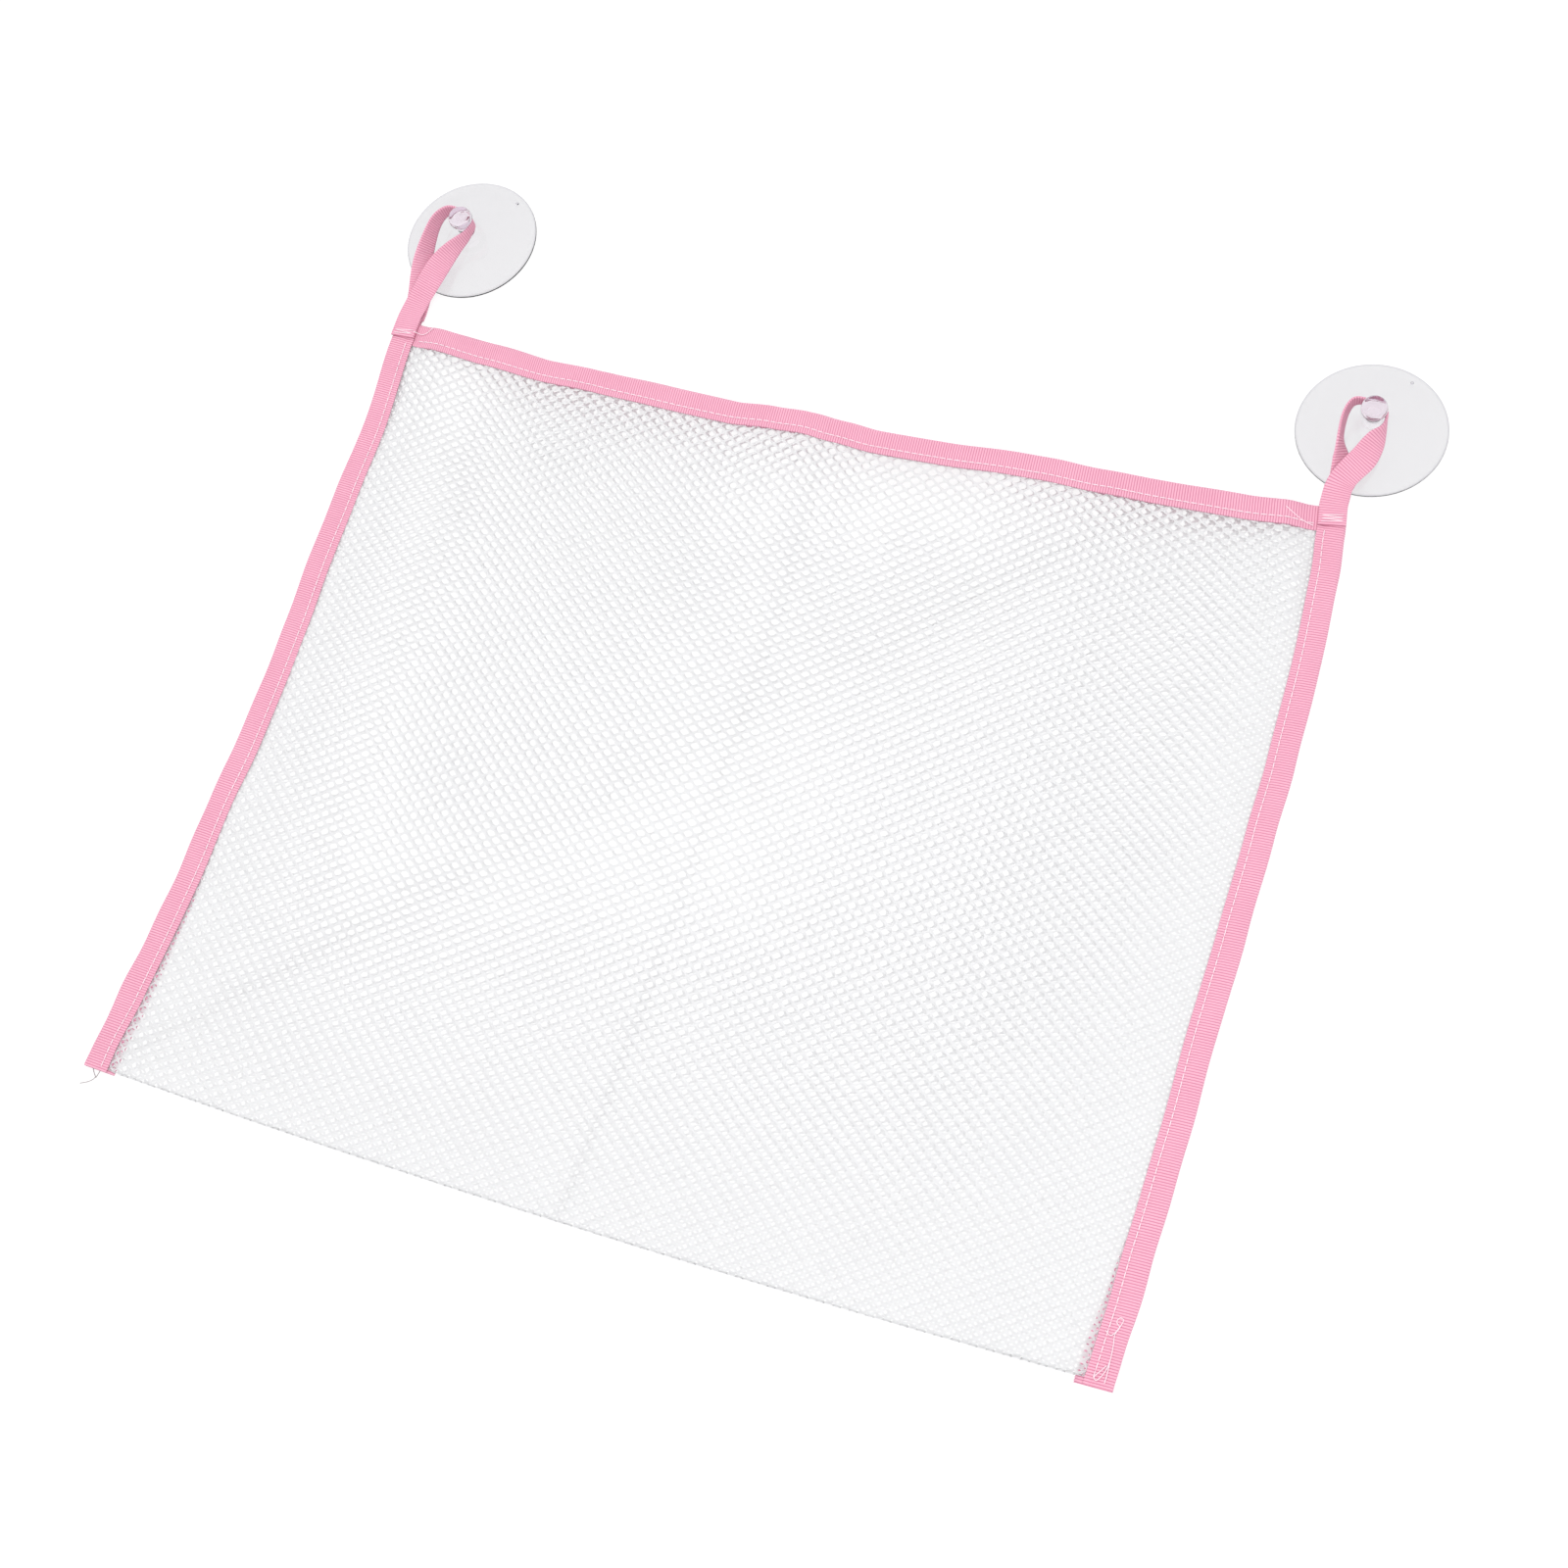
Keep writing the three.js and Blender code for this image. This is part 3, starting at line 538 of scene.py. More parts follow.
def lay_net(u, w, offset):
    """The folded sheet: w is the way up the front layer from the fold, or minus the way up the
    back layer. Near 0 the sheet turns through a half circle of the fold's radius. The front layer
    ripples by a product of sines."""
    quarter = 0.5 * np.pi * FOLD_RADIUS
    turn = np.clip(w / FOLD_RADIUS, -0.5 * np.pi, 0.5 * np.pi)
    v = np.maximum(np.abs(w) - quarter, 0.0)
    waves = np.sin(u / 9.7 + 0.6 * np.sin(v / 23.0)) * np.sin(v / 13.0)
    ripple = RIPPLE * waves * smooth(v / RIPPLE_RUN)
    level = mix(front_level(u, v) + ripple, mouth_level(u, True), into_mouth(v))
    front = lay(u, v, level + offset, FRONT_SAG)
    back = lay(u, v + back_rise(u, v), back_level(u, v) + offset, BACK_SAG)
    flat = np.where((w > 0)[:, None], front, back)
    low, high = back_level(u, 0.0), front_level(u, 0.0)
    radius = 0.5 * (high - low) + np.where(w > 0, offset, -offset)
    bend = np.abs(w) < quarter
    middle = lay(u, np.zeros_like(u), 0.5 * (low + high), BACK_SAG)
    round_part = middle + np.stack([0 * u, -radius * np.cos(turn), radius * np.sin(turn)], -1)
    return np.where(bend[:, None], round_part, flat)


# %% Net pieces
KNOT_WANDER = 0.035
rng = np.random.default_rng(7)
WANDER = rng.normal(0.0, KNOT_WANDER, (HOLE_COLUMNS + 5, 2 * HOLE_ROWS + 5, 2))


def sharpen(piece, walls, rim_from):
    """Edges marked sharp, so that they bend no neighbour's shading: those round the border walls,
    which are the last faces, and those round each hole, whose points are numbered from rim_from."""
    mesh = piece.data
    edge = np.zeros(len(mesh.loops), np.int32)
    mesh.loops.foreach_get("edge_index", edge)
    ends = np.zeros(2 * len(mesh.edges), np.int32)
    mesh.edges.foreach_get("vertices", ends)
    sharp = (ends.reshape(-1, 2) >= rim_from).all(1)
    sharp[edge[-4 * len(walls):]] = True
    mesh.attributes.new("sharp_edge", "BOOLEAN", "EDGE").data.foreach_set("value", sharp)


def net_piece(name, columns, rows):
    """A quarter of the folded net. Each lattice point wanders a little, alike in every quarter."""
    lattice, side, triangles = ring_sheet(columns, rows)
    count = int((side > 0).sum())
    walls = close_border(count, triangles)
    near = np.round(lattice).astype(int)
    place = lattice + WANDER[near[:, 0] + 2, near[:, 1] + HOLE_ROWS + 2]
    u = NET_FROM + place[:, 0] * STEP_U
    w = (place[:, 1] + 0.5) * STEP_W
    points = lay_net(u, w, side * YARN_HALF)
    piece = make_piece(name, points, outward(points, [triangles, walls]), np.stack([u, w], -1), NET_YARN)
    sharpen(piece, walls, 2 * count)
    return piece


half = HOLE_COLUMNS // 2
left_columns, right_columns = np.arange(1, half), np.arange(half, HOLE_COLUMNS)
front_rows, back_rows = np.arange(0, HOLE_ROWS - 1), np.arange(-HOLE_ROWS + 1, 0)
front_net = [net_piece("front_net_left_half", left_columns, front_rows),
             net_piece("front_net_right_half", right_columns, front_rows)]
back_net = [net_piece("back_net_left_half", left_columns, back_rows),
            net_piece("back_net_right_half", right_columns, back_rows)]

# %% The net's joints
# The front layer opens in the middle of the mouth and stays with the bag at the side seams. Here the front
# layer's pieces only have their transform baked in, and the back layer's pieces go with the bag.
SEAM_LEFT, MIDDLE, SEAM_RIGHT = [to_frame((u, 200, 3)) for u in (TAPE, WIDTH / 2, WIDTH - TAPE)]


def opens(piece):
    """A piece of the front layer: its transform is baked into its points."""
    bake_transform(piece)


for piece, seam in zip(front_net, (SEAM_LEFT, SEAM_RIGHT)):
    opens(piece)
    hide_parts("front_net")
for piece in back_net:
    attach(piece, "bag")
    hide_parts("back_net")
print("front layer opens from", np.round(SEAM_LEFT, 4), "to", np.round(MIDDLE, 4))

# %% [markdown]
# ## The tape
# The tape is folded along its middle over each edge and sewn through. Its ribs run across it, a
# millimetre apart. The folded strip is one profile carried along an edge: over the upper leaf,
# round the fold, back along the lower leaf and into the slot that holds the net. Four points for
# each rib are enough for a smooth wave, and the same height formula seats the stitches later.

# %% Surface of the tape
SEAM = 8.0
RIB_HEIGHT = 0.14
STITCH = 3.0
DROP_FROM, DROP_RUN = 6.0, 2.5
GROOVE, GROOVE_WIDE, CROWN, PUCKER, SLOW = 0.2, 0.55, 0.16, 0.05, 0.16
EDGE_WAVE, EDGE_FROM = 0.16, 10.9


def tape_puff(q, along, seed):
    """How far a leaf stands off: a groove at the seam, a soft crown beside it, puckers at each
    stitch and slow waves along the tape."""
    groove = -GROOVE * np.exp(-((q - SEAM) / GROOVE_WIDE) ** 2)
    crown = CROWN * np.sin(np.pi * np.clip(q / SEAM, 0, 1))
    pucker = PUCKER * np.cos(2 * np.pi * along / STITCH) * np.exp(-((q - SEAM) / 2.0) ** 2)
    waves = np.sin(along / 7.3 + seed) * np.sin(along / 19.0 + 2 * seed)
    slow = SLOW * waves * np.sin(np.pi * q / 13.0)
    return groove + crown + pucker + slow


def tape_rib(along):
    """Height of the ribs: a cosine with one crest each rib."""
    return RIB_HEIGHT * np.cos(2 * np.pi * along / RIB)


def edge_wave(q, along):
    """How far the ribs' ends stand out and in along a leaf's edge: a cosine, at its outermost points."""
    return EDGE_WAVE * np.cos(2 * np.pi * along / RIB) * (q > EDGE_FROM)


def leaf_drop(q, drop):
    """How far the upper leaf comes down towards its inner edge, where the seam pulls it in."""
    return drop * smooth((q - DROP_FROM) / DROP_RUN)


print("a rib in mm:", RIB, "wide,", RIB_HEIGHT, "high")

# %% Folded section
# Places across a leaf from its edge to the fold, turns round the fold, and places along the slot.
UPPER = np.array([11.0, 10.85, 10.4, 9.6, 8.7, 8.3, 8.0, 7.7, 7.2, 6.0, 4.5, 3.0, 1.8])
FOLD_TURNS = np.linspace(0.5, -0.5, 9)[1:-1] * np.pi
SLOT_Q = np.array([11.0, 6.0, 1.2])
FOLD_AT, FOLD_OUT, UNDER_LEVEL, SLOT_SHORT, SLOT_END = 1.3, 1.25, 0.12, 0.1, 0.7


def folded_rows(along, height, drop, leaf, peek, seed):
    """Section points for each place along the tape as (q, z): q is the way in from the fold and z
    the height above the underside. drop lowers the inner edge, leaf is how thick each leaf is, and
    peek widens the lower leaf, which then shows beside the upper. The ribs fade at edge and fold."""
    a, h, p = along[:, None], height[:, None], peek[:, None]
    d, thick = drop[:, None], leaf[:, None]
    rib = tape_rib(a)
    q = UPPER[None, :]
    fade = np.where(q > EDGE_FROM, 0.5, 1.0)
    level = h - leaf_drop(q, d) + tape_puff(q, a, seed) + fade * rib
    top = joined(q + edge_wave(q, a), level)
    turn = FOLD_TURNS[None, :]
    swing = FOLD_OUT + 0.5 * rib
    fold = joined(FOLD_AT - swing * np.cos(turn), h / 2 + (h / 2 + 0.03) * np.sin(turn))
    q = UPPER[None, ::-1]
    under = joined(q * (1 + p / TAPE) + edge_wave(q, a), UNDER_LEVEL + 0.6 * rib + 0 * q)
    q = SLOT_Q[None, :]
    low = joined(q * (1 + p / TAPE) - SLOT_SHORT, thick + 0 * q)
    q = SLOT_Q[None, ::-1]
    high = joined(q - SLOT_SHORT, h - leaf_drop(q, d) - thick)
    end = joined(SLOT_END + 0 * a, h / 2)
    return np.concatenate([top, fold, under, low, end, high], 1)


def rib_places(start, stop):
    """Places along a tape, four to a rib."""
    return np.linspace(start, stop, int(round((stop - start) / RIB * 4)) + 1)


print("rows along a side tape:", len(rib_places(0, HEIGHT)))


# %% Side tapes
def tape_piece(name, place, along, rows):
    """A folded tape: section rows carried to the table by place(q, along, z)."""
    q, z = rows[..., 0], rows[..., 1]
    points = place(q, along[:, None], z)
    flat, faces, cloth = tube(points, joined(along[:, None], q))
    piece = make_piece(name, flat, faces, cloth, TAPE_PINK)
    return piece


SIDE_TO = 354.0
OPENED, OPEN_FROM, OPEN_RUN = 1.5, 290.7, 47.8
TAIL_HEIGHT, TAIL_FROM, TAIL_RUN = 2.3, 350.2, 3.8
SEAM_PULL, PULL_TO, PULL_RUN = 0.4, 270.0, 40.0
PEEK_SHORT, PEEK_OUT, SWAY = -1.0, 4.2, 0.12


def side_height(v):
    """Height of a side tape: even, opening at the mouth corner for the mouth tape's ends, then closing."""
    opened = BINDING + OPENED * smooth((v - OPEN_FROM) / OPEN_RUN)
    return mix(opened, TAIL_HEIGHT, smooth((v - TAIL_FROM) / TAIL_RUN))


def side_drop(v):
    """How far the seam pulls the upper leaf in: not where the mouth tapes' ends lie inside."""
    return SEAM_PULL * (1 - smooth((v - PULL_TO) / PULL_RUN))


def side_peek(v, reach):
    """How far the lower leaf reaches past the upper one: short of it, but showing at the bottom."""
    return PEEK_SHORT + PEEK_OUT * smooth(1 - v / reach)


def edge_sway(v, reach, slack):
    """How far the folded edge wanders: sines of unlike lengths, small everywhere and larger in the
    slack lower part."""
    loose = SWAY + slack * smooth(1 - v / (1.5 * reach))
    return loose * (np.sin(v / 6.8) * np.sin(v / 23.0) + 0.6 * np.sin(v / 15.0 + 1.0))


# For each side: the way in from its edge, where its tape starts, how far up its lower leaf shows,
# how slack its edge is there, and where its slow waves start.
SIDES = {"left": (lambda q: q, -1.5, 130.0, 0.6, 0.4),
         "right": (lambda q: WIDTH - q, -3.0, 80.0, 0.15, 2.1)}


def side_tape(name):
    """The tape of one side, from just past the bottom fold to just past the mouth."""
    inward, start, reach, slack, seed = SIDES[name]
    along = rib_places(start, SIDE_TO)
    rows = folded_rows(along, side_height(along), side_drop(along), LEAF + 0 * along,
                       side_peek(along, reach), seed)
    sway = lambda q, v: q + edge_sway(v, reach, slack) * (1 - np.minimum(q / SEAM, 1))
    place = lambda q, v, z: lay(inward(sway(q, v)), v, z, BACK_SAG)
    piece = tape_piece(name + "_side_tape", place, along, rows)
    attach(piece, "bag")
    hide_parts(name + "_side_binding")
    return piece


side_tapes = [side_tape(name) for name in SIDES]

# %% Mouth tapes
MOUTH_ENDS = (4.0, 416.0)
MOUTH_PEEK = -1.2
END_HEIGHT = 1.2
FRONT_WAVES, BACK_WAVES = 3.0, 1.3


def mouth_height(u):
    """Height of a mouth tape: squeezed where its ends lie inside the side tapes."""
    return mix(END_HEIGHT, BINDING, smooth((from_sides(u) - TAPE) / END_RUN))


def mouth_place(front):
    """The map from tape to table for the front or the back mouth tape."""
    sag = FRONT_SAG if front else BACK_SAG
    line = lambda q, u: HEIGHT - q + (0.0 if front else back_rise(u, HEIGHT))
    return lambda q, u, z: lay(u, line(q, u), mouth_level(u, front) - mouth_height(u) / 2 + z, sag)


def mouth_tape(name, front, start, stop, seed):
    """A length of mouth tape, whose slow waves start at seed."""
    along = rib_places(start, stop)
    height = mouth_height(along)
    rows = folded_rows(along, height, 0 * along, height / 2 - YARN_HALF, MOUTH_PEEK + 0 * along, seed)
    return tape_piece(name, mouth_place(front), along, rows)


back_tape = mouth_tape("back_mouth_tape", False, *MOUTH_ENDS, BACK_WAVES)
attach(back_tape, "bag")
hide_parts("back_mouth_binding")
MID_RIB = MOUTH_ENDS[0] + round((WIDTH / 2 - MOUTH_ENDS[0]) / RIB) * RIB
front_tapes = [mouth_tape("front_mouth_tape_left_half", True, MOUTH_ENDS[0], MID_RIB, FRONT_WAVES),
               mouth_tape("front_mouth_tape_right_half", True, MID_RIB, MOUTH_ENDS[1], FRONT_WAVES)]
for piece, seam in zip(front_tapes, (SEAM_LEFT, SEAM_RIGHT)):
    opens(piece)
    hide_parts("front_mouth_binding")

# %% [markdown]
# ## The hanging loops
# Past the top corner each side tape goes on as a doubled strip. It rises, turns on edge, goes
# round the neck of a suction cup and comes back down, and its end is sewn over the corner. A loop
# is one long strip: a rounded section carried along that path, four rows to a rib again.

# %% Knots of the loops
# A knot of the path: from where it is measured, how far across and along (in tape widths, or in
# loop radii round the neck), the share of the climb, the turn of the tape and its share of width.
LOOP_THICK, LOOP_LEVEL, LOOP_RADIUS, LOOP_STACK = 1.0, 11.9, 4.15, 0.625
LOOPS = {
    "left": dict(base=(5.5, 354.6, 1.6), neck=(17.2, 396.3), knots=[
        ("base", 0, 0, 0, 0, 1), ("base", 0, 0.35, 0.035, 2, 1), ("base", -0.05, 1.036, 0.22, 8, 1),
        ("base", -0.236, 2.082, 0.602, 40, 0.82), ("neck", -1.318, -0.709, 0.854, 55, 0.68),
        ("neck", -1.236, 0.064, 0.971, 65, 0.59), ("neck", -0.927, 0.545, 1, 80, 0.5),
        ("neck", -0.455, 0.591, 1, 90, 0.47), ("round", 0.05, 1.02, 1, 90, 0.47),
        ("round", 0.866, 0.5, 1, 90, 0.47), ("round", 0.906, -0.423, 1, 92, 0.48),
        ("neck", 0.209, -0.527, 0.971, 105, 0.55), ("neck", -0.164, -1.118, 0.854, 130, 0.73),
        ("neck", -0.509, -1.773, 0.66, 155, 0.91), ("base", 0.3, 1.173, 0.49, 172, 1),
        ("base", 0.05, 0.35, 0.225, 178, 1), ("base", 0, 0, 0, 180, 1)]),
    "right": dict(base=(414.5, 354.6, 2.8), neck=(420.9, 387.4), knots=[
        ("base", 0, 0, 0, 0, 1), ("base", 0, 0.3, 0.03, 0, 1), ("base", 0.08, 0.74, 0.13, -5, 1),
        ("base", -0.17, 1.38, 0.45, 35, 0.76), ("neck", -0.936, -0.991, 0.813, 70, 0.6),
        ("neck", -0.973, -0.173, 0.967, 75, 0.55), ("neck", -0.818, 0.382, 1, 82, 0.5),
        ("neck", -0.445, 0.509, 1, 90, 0.47), ("round", 0.05, 1.02, 1, 90, 0.47),
        ("round", 1.06, 0.53, 1, 90, 0.47), ("round", 1.28, -0.36, 1, 92, 0.5),
        ("neck", 0.464, -0.491, 0.978, 110, 0.6), ("neck", 0.3, -0.918, 0.89, 142, 0.85),
        ("neck", 0.027, -1.673, 0.73, 168, 1), ("base", 0.28, 0.8, 0.62, 173, 1),
        ("base", 0.01, 0.34, 0.29, 179, 1), ("base", 0, 0, 0, 180, 1)]),
}
print("knots:", {name: len(loop["knots"]) for name, loop in LOOPS.items()})

# %% Path through the knots
SPAN_ROWS = 40


def unit(v):
    """Vectors scaled to length one."""
    return v / np.linalg.norm(v, axis=-1, keepdims=True)


def soft_path(knots, count):
    """A smooth path through knots: cubic segments whose slopes come from the neighbouring knots."""
    k = np.asarray(knots, float)
    ends = np.concatenate([[2 * k[0] - k[1]], k, [2 * k[-1] - k[-2]]])
    t = np.linspace(0, len(k) - 1, count)
    i = np.minimum(t.astype(int), len(k) - 2)
    f = (t - i)[:, None]
    p, a, b, n = ends[i], ends[i + 1], ends[i + 2], ends[i + 3]
    slope = (b - p) * f
    bend = (2 * p - 5 * a + 4 * b - n) * f ** 2
    return 0.5 * (2 * a + slope + bend + (3 * a - p - 3 * b + n) * f ** 3)


def knot_row(loop, source, across, along, climb, turn, share):
    """One knot as x, y, z, turn and width."""
    origin = loop["base"] if source == "base" else loop["neck"]
    scale = LOOP_RADIUS if source == "round" else TAPE
    return (origin[0] + across * scale, origin[1] + along * scale, mix(loop["base"][2], LOOP_LEVEL, climb),
            np.radians(turn), share * TAPE)


def loop_path(name):
    """The whole strip as rows of middle, across, through and width. The tape's face starts level,
    stands on edge round the neck and comes back upside down over its own start."""
    loop = LOOPS[name]
    knots = np.array([knot_row(loop, *knot) for knot in loop["knots"]])
    knots[[0, -1], 2] += (-LOOP_STACK, LOOP_STACK)
    path = soft_path(knots, SPAN_ROWS * (len(knots) - 1) + 1)
    middle, turn, wide = path[:, :3], path[:, 3:4], path[:, 4]
    ahead = unit(np.gradient(middle, axis=0))
    right = unit(np.stack([ahead[:, 1], -ahead[:, 0], 0 * wide], -1))
    level = unit(np.cross(right, ahead))
    across = right * np.cos(turn) - level * np.sin(turn)
    through = right * np.sin(turn) + level * np.cos(turn)
    return middle, across, through, wide


print("rows of the left path:", len(loop_path("left")[0]))

# %% Rows of a loop
LAP_FROM, LAP_TO, LAP_LEVEL = 352.0, 341.0, 4.3
TUCK_FROM = 351.5
SOFT_ROWS, SOFT_SPREAD, SOFT_END, SOFT_RUN = 24, 9.0, 34.0, 8.0
TUCK_ROWS, TUCK_GAP, LAP_ROWS = 12, 0.2, 40


def lapped(name, rows):
    """The strip with its start tucked into the side tape and its end laid over it, each a run of
    level rows that takes the place of the end at the corner."""
    middle, across, through, wide = rows
    inward = SIDES[name][0]
    v = np.linspace(TUCK_FROM, middle[0, 1] - TUCK_GAP, TUCK_ROWS)
    tuck = np.column_stack([np.full_like(v, middle[0, 0]), v, np.full_like(v, middle[0, 2])])
    keep = slice(0, len(middle) - SPAN_ROWS)
    v = np.linspace(LAP_FROM, LAP_TO, LAP_ROWS)
    lap = lay(inward(np.full_like(v, TAPE / 2)), v, LAP_LEVEL, BACK_SAG)
    right = np.array([1.0, 0.0, 0.0])
    above = np.array([0.0, 0.0, 1.0])
    return [np.concatenate([tuck, middle[keep], lap]),
            np.concatenate([0 * tuck + right, across[keep], 0 * lap + right]),
            np.concatenate([0 * tuck + above, through[keep], 0 * lap - above]),
            np.concatenate([np.full(len(tuck), TAPE), wide[keep], np.full(len(lap), TAPE)])]


def even_rows(rows):
    """Rows evenly spaced along the strip, four to a rib, with the sewn end smoothed."""
    middle = rows[0]
    run = np.concatenate([[0], np.cumsum(np.linalg.norm(np.diff(middle, axis=0), axis=1))])
    along = rib_places(0, run[-1])
    spread = lambda x: np.stack([np.interp(along, run, x[:, k]) for k in range(3)], -1)
    middle, across, through = spread(rows[0]), spread(rows[1]), spread(rows[2])
    wide = np.interp(along, run, rows[3])
    kernel = np.exp(-0.5 * (np.arange(-SOFT_ROWS, SOFT_ROWS + 1) / SOFT_SPREAD) ** 2)
    kernel /= kernel.sum()
    longer = lambda x: np.pad(x, SOFT_ROWS, mode="reflect", reflect_type="odd")
    soft = np.stack([np.convolve(longer(middle[:, k]), kernel, "valid") for k in range(3)], -1)
    share = smooth((along - (run[-1] - SOFT_END)) / SOFT_RUN)[:, None]
    middle = mix(middle, soft, share)
    ahead = unit(np.gradient(middle, axis=0))
    across = unit(across - ahead * np.sum(across * ahead, axis=1, keepdims=True))
    facing = np.cross(ahead, across)
    facing *= np.sign(np.sum(facing * through, axis=1, keepdims=True))
    return along, middle, across, facing, wide


print("left strip in mm:", round(even_rows(lapped("left", loop_path("left")))[0][-1], 1))

# %% Loop strips
LOOP_RIB, LOOP_GROOVE, LOOP_SEAM, LOOP_SEAM_WIDE = 0.7, 0.14, 0.45, 0.09
ROUND_FROM, ROUND_RUN = 0.85, 0.15
LOOP_COLUMNS = np.array([-1, -0.97, -0.85, -0.6, -0.3, 0, 0.3, 0.6, 0.85, 0.97, 1])


def bends(piece):
    """A piece on a loop: its transform is baked into its points."""
    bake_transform(piece)


def loop_piece(name):
    """The strip of one loop. Its ribs stand on both faces and its edges are rounded."""
    along, middle, across, through, wide = even_rows(lapped(name, loop_path(name)))
    a, rib = LOOP_COLUMNS[None, :], LOOP_RIB * tape_rib(along)[:, None]
    out = np.clip((np.abs(a) - ROUND_FROM) / ROUND_RUN, 0, 1)
    round_off = np.sqrt(np.clip(1 - out ** 2, 0.02, 1))
    seam = -LOOP_GROOVE * np.exp(-((a - LOOP_SEAM) / LOOP_SEAM_WIDE) ** 2)
    bulge = (LOOP_THICK / 2 + seam + rib) * round_off
    reach = a * wide[:, None] / 2
    face = lambda sign: (middle[:, None] + across[:, None] * reach[..., None]
                         + sign * through[:, None] * bulge[..., None])
    points = np.concatenate([face(1), face(-1)[:, ::-1]], 1)
    q = np.concatenate([(a + 1) * TAPE / 2, ((a + 1) * TAPE / 2)[:, ::-1]], 1)
    flat, faces, cloth = tube(points, joined(along[:, None], q))
    piece = make_piece(name + "_loop_tape", flat, faces, cloth, TAPE_PINK)
    bends(piece)
    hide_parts(name + "_hanging_loop")
    return piece, (along, middle, across, through, wide)


loop_tapes = {name: loop_piece(name) for name in LOOPS}

# %% [markdown]
# ## Sewing
# A lockstitch shows as a row of short thread ends that dive into the tape. Each stitch is a small
# spindle: a ring of five points carried along three millimetres, thin at both ends. Whole rows
# are worked out together. At the corners the thread runs in a zigzag, which is one longer path.

# %% Stitches
THREAD_RADIUS = 0.27
STITCH_HALF, DIVE, SEAT, SEAT_UNDER = 0.46, 0.28, 0.22, 0.27
SEAM_ENDS = (13.0, 407.0)
AROUND = np.arange(5) * 2 * np.pi / 5
STITCH_ROWS = np.array([-1, -0.9, -0.6, 0, 0.6, 0.9, 1.0])


def stitch_row(starts, place):
    """Spindles centred on starts: place(along, across, up) takes the thread's own coordinates to
    the table. Thickness follows a half circle of the way along, and the ends dive."""
    t = STITCH_ROWS[None, :, None]
    girth = THREAD_RADIUS * np.sqrt(np.clip(1 - t ** 4, 0.03, 1))
    along = starts[:, None, None] + t * STITCH * STITCH_HALF
    ring_x, ring_z = np.cos(AROUND)[None, None, :], np.sin(AROUND)[None, None, :]
    height = girth * ring_z - DIVE * t ** 4 + 0 * along
    points = place(along + 0 * ring_x, girth * ring_x + 0 * along, height)
    count, rings, around = points.shape[:3]
    one = grid_faces(rings, around, True)
    caps = end_caps(rings, around)
    offset = (np.arange(count) * rings * around)[:, None, None]
    sides = (one[None] + offset).reshape(-1, 4)
    ends = (caps[None] + offset).reshape(-1, around)
    flat = points.reshape(-1, 3)
    turned = outward(flat, [sides])[0]
    cloth = joined(along, AROUND[None, None, :]).reshape(-1, 2)
    return flat, [turned, ends if turned is sides else ends[:, ::-1]], cloth


def thread_piece(name, parts):
    """Several sets of thread points and faces as one piece."""
    base = np.cumsum([0] + [len(p[0]) for p in parts[:-1]])
    faces = {}
    for (_, groups, _), start in zip(parts, base):
        for f in groups:
            faces.setdefault(f.shape[1], []).append(f + start)
    piece = make_piece(name, np.concatenate([p[0] for p in parts]),
                       [np.concatenate(f) for f in faces.values()],
                       np.concatenate([p[2] for p in parts]), THREAD)
    return piece


def stitch_starts(start, stop):
    """The middles of whole stitches between two places."""
    return np.arange(start + STITCH / 2, stop, STITCH)


print("stitches up a side:", len(stitch_starts(0, HEIGHT - TAPE)))


# %% Side seams
def side_stitches(name):
    """Both faces of one side seam: on the upper leaf, and flush in the lower leaf."""
    inward, seed = SIDES[name][0], SIDES[name][-1]
    face = lambda v: side_height(v) - leaf_drop(SEAM, side_drop(v)) + tape_puff(SEAM, v, seed)
    top = lambda v, x, z: lay(inward(SEAM + x), v, face(v) + SEAT + z, BACK_SAG)
    under = lambda v, x, z: lay(inward(SEAM + x), v, SEAT_UNDER - 0.6 * z, BACK_SAG)
    starts = stitch_starts(0, HEIGHT - TAPE)
    piece = thread_piece(name + "_side_stitches", [stitch_row(starts, top), stitch_row(starts, under)])
    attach(piece, "bag")
    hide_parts(name + "_side_stitching")


for name in SIDES:
    side_stitches(name)


# %% Mouth seams
def mouth_stitches(name, front, start, stop, seed):
    """Both faces of a mouth seam."""
    place = mouth_place(front)
    face = lambda u: mouth_height(u) + tape_puff(SEAM, u, seed)
    top = lambda u, x, z: place(SEAM + x, u, face(u) + SEAT + z)
    under = lambda u, x, z: place(SEAM + x, u, UNDER_LEVEL - z)
    starts = stitch_starts(start, stop)
    return thread_piece(name, [stitch_row(starts, top), stitch_row(starts, under)])


back_seam = mouth_stitches("back_mouth_stitches", False, *SEAM_ENDS, BACK_WAVES)
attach(back_seam, "bag")
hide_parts("back_mouth_stitching")
front_seams = [
    mouth_stitches("front_mouth_stitches_left_half", True, SEAM_ENDS[0], WIDTH / 2, FRONT_WAVES),
    mouth_stitches("front_mouth_stitches_right_half", True, WIDTH / 2, SEAM_ENDS[1], FRONT_WAVES)]
for piece, seam in zip(front_seams, (SEAM_LEFT, SEAM_RIGHT)):
    opens(piece)
    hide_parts("front_mouth_stitching")

# %% Zigzag tacks
TAIL_RADIUS = THREAD_RADIUS * 0.7
TACK_MARGIN, TACK_UP = 1.3, 0.6
# A direction that no thread runs along.
ASKEW = (0.31, 0.17, 0.93)


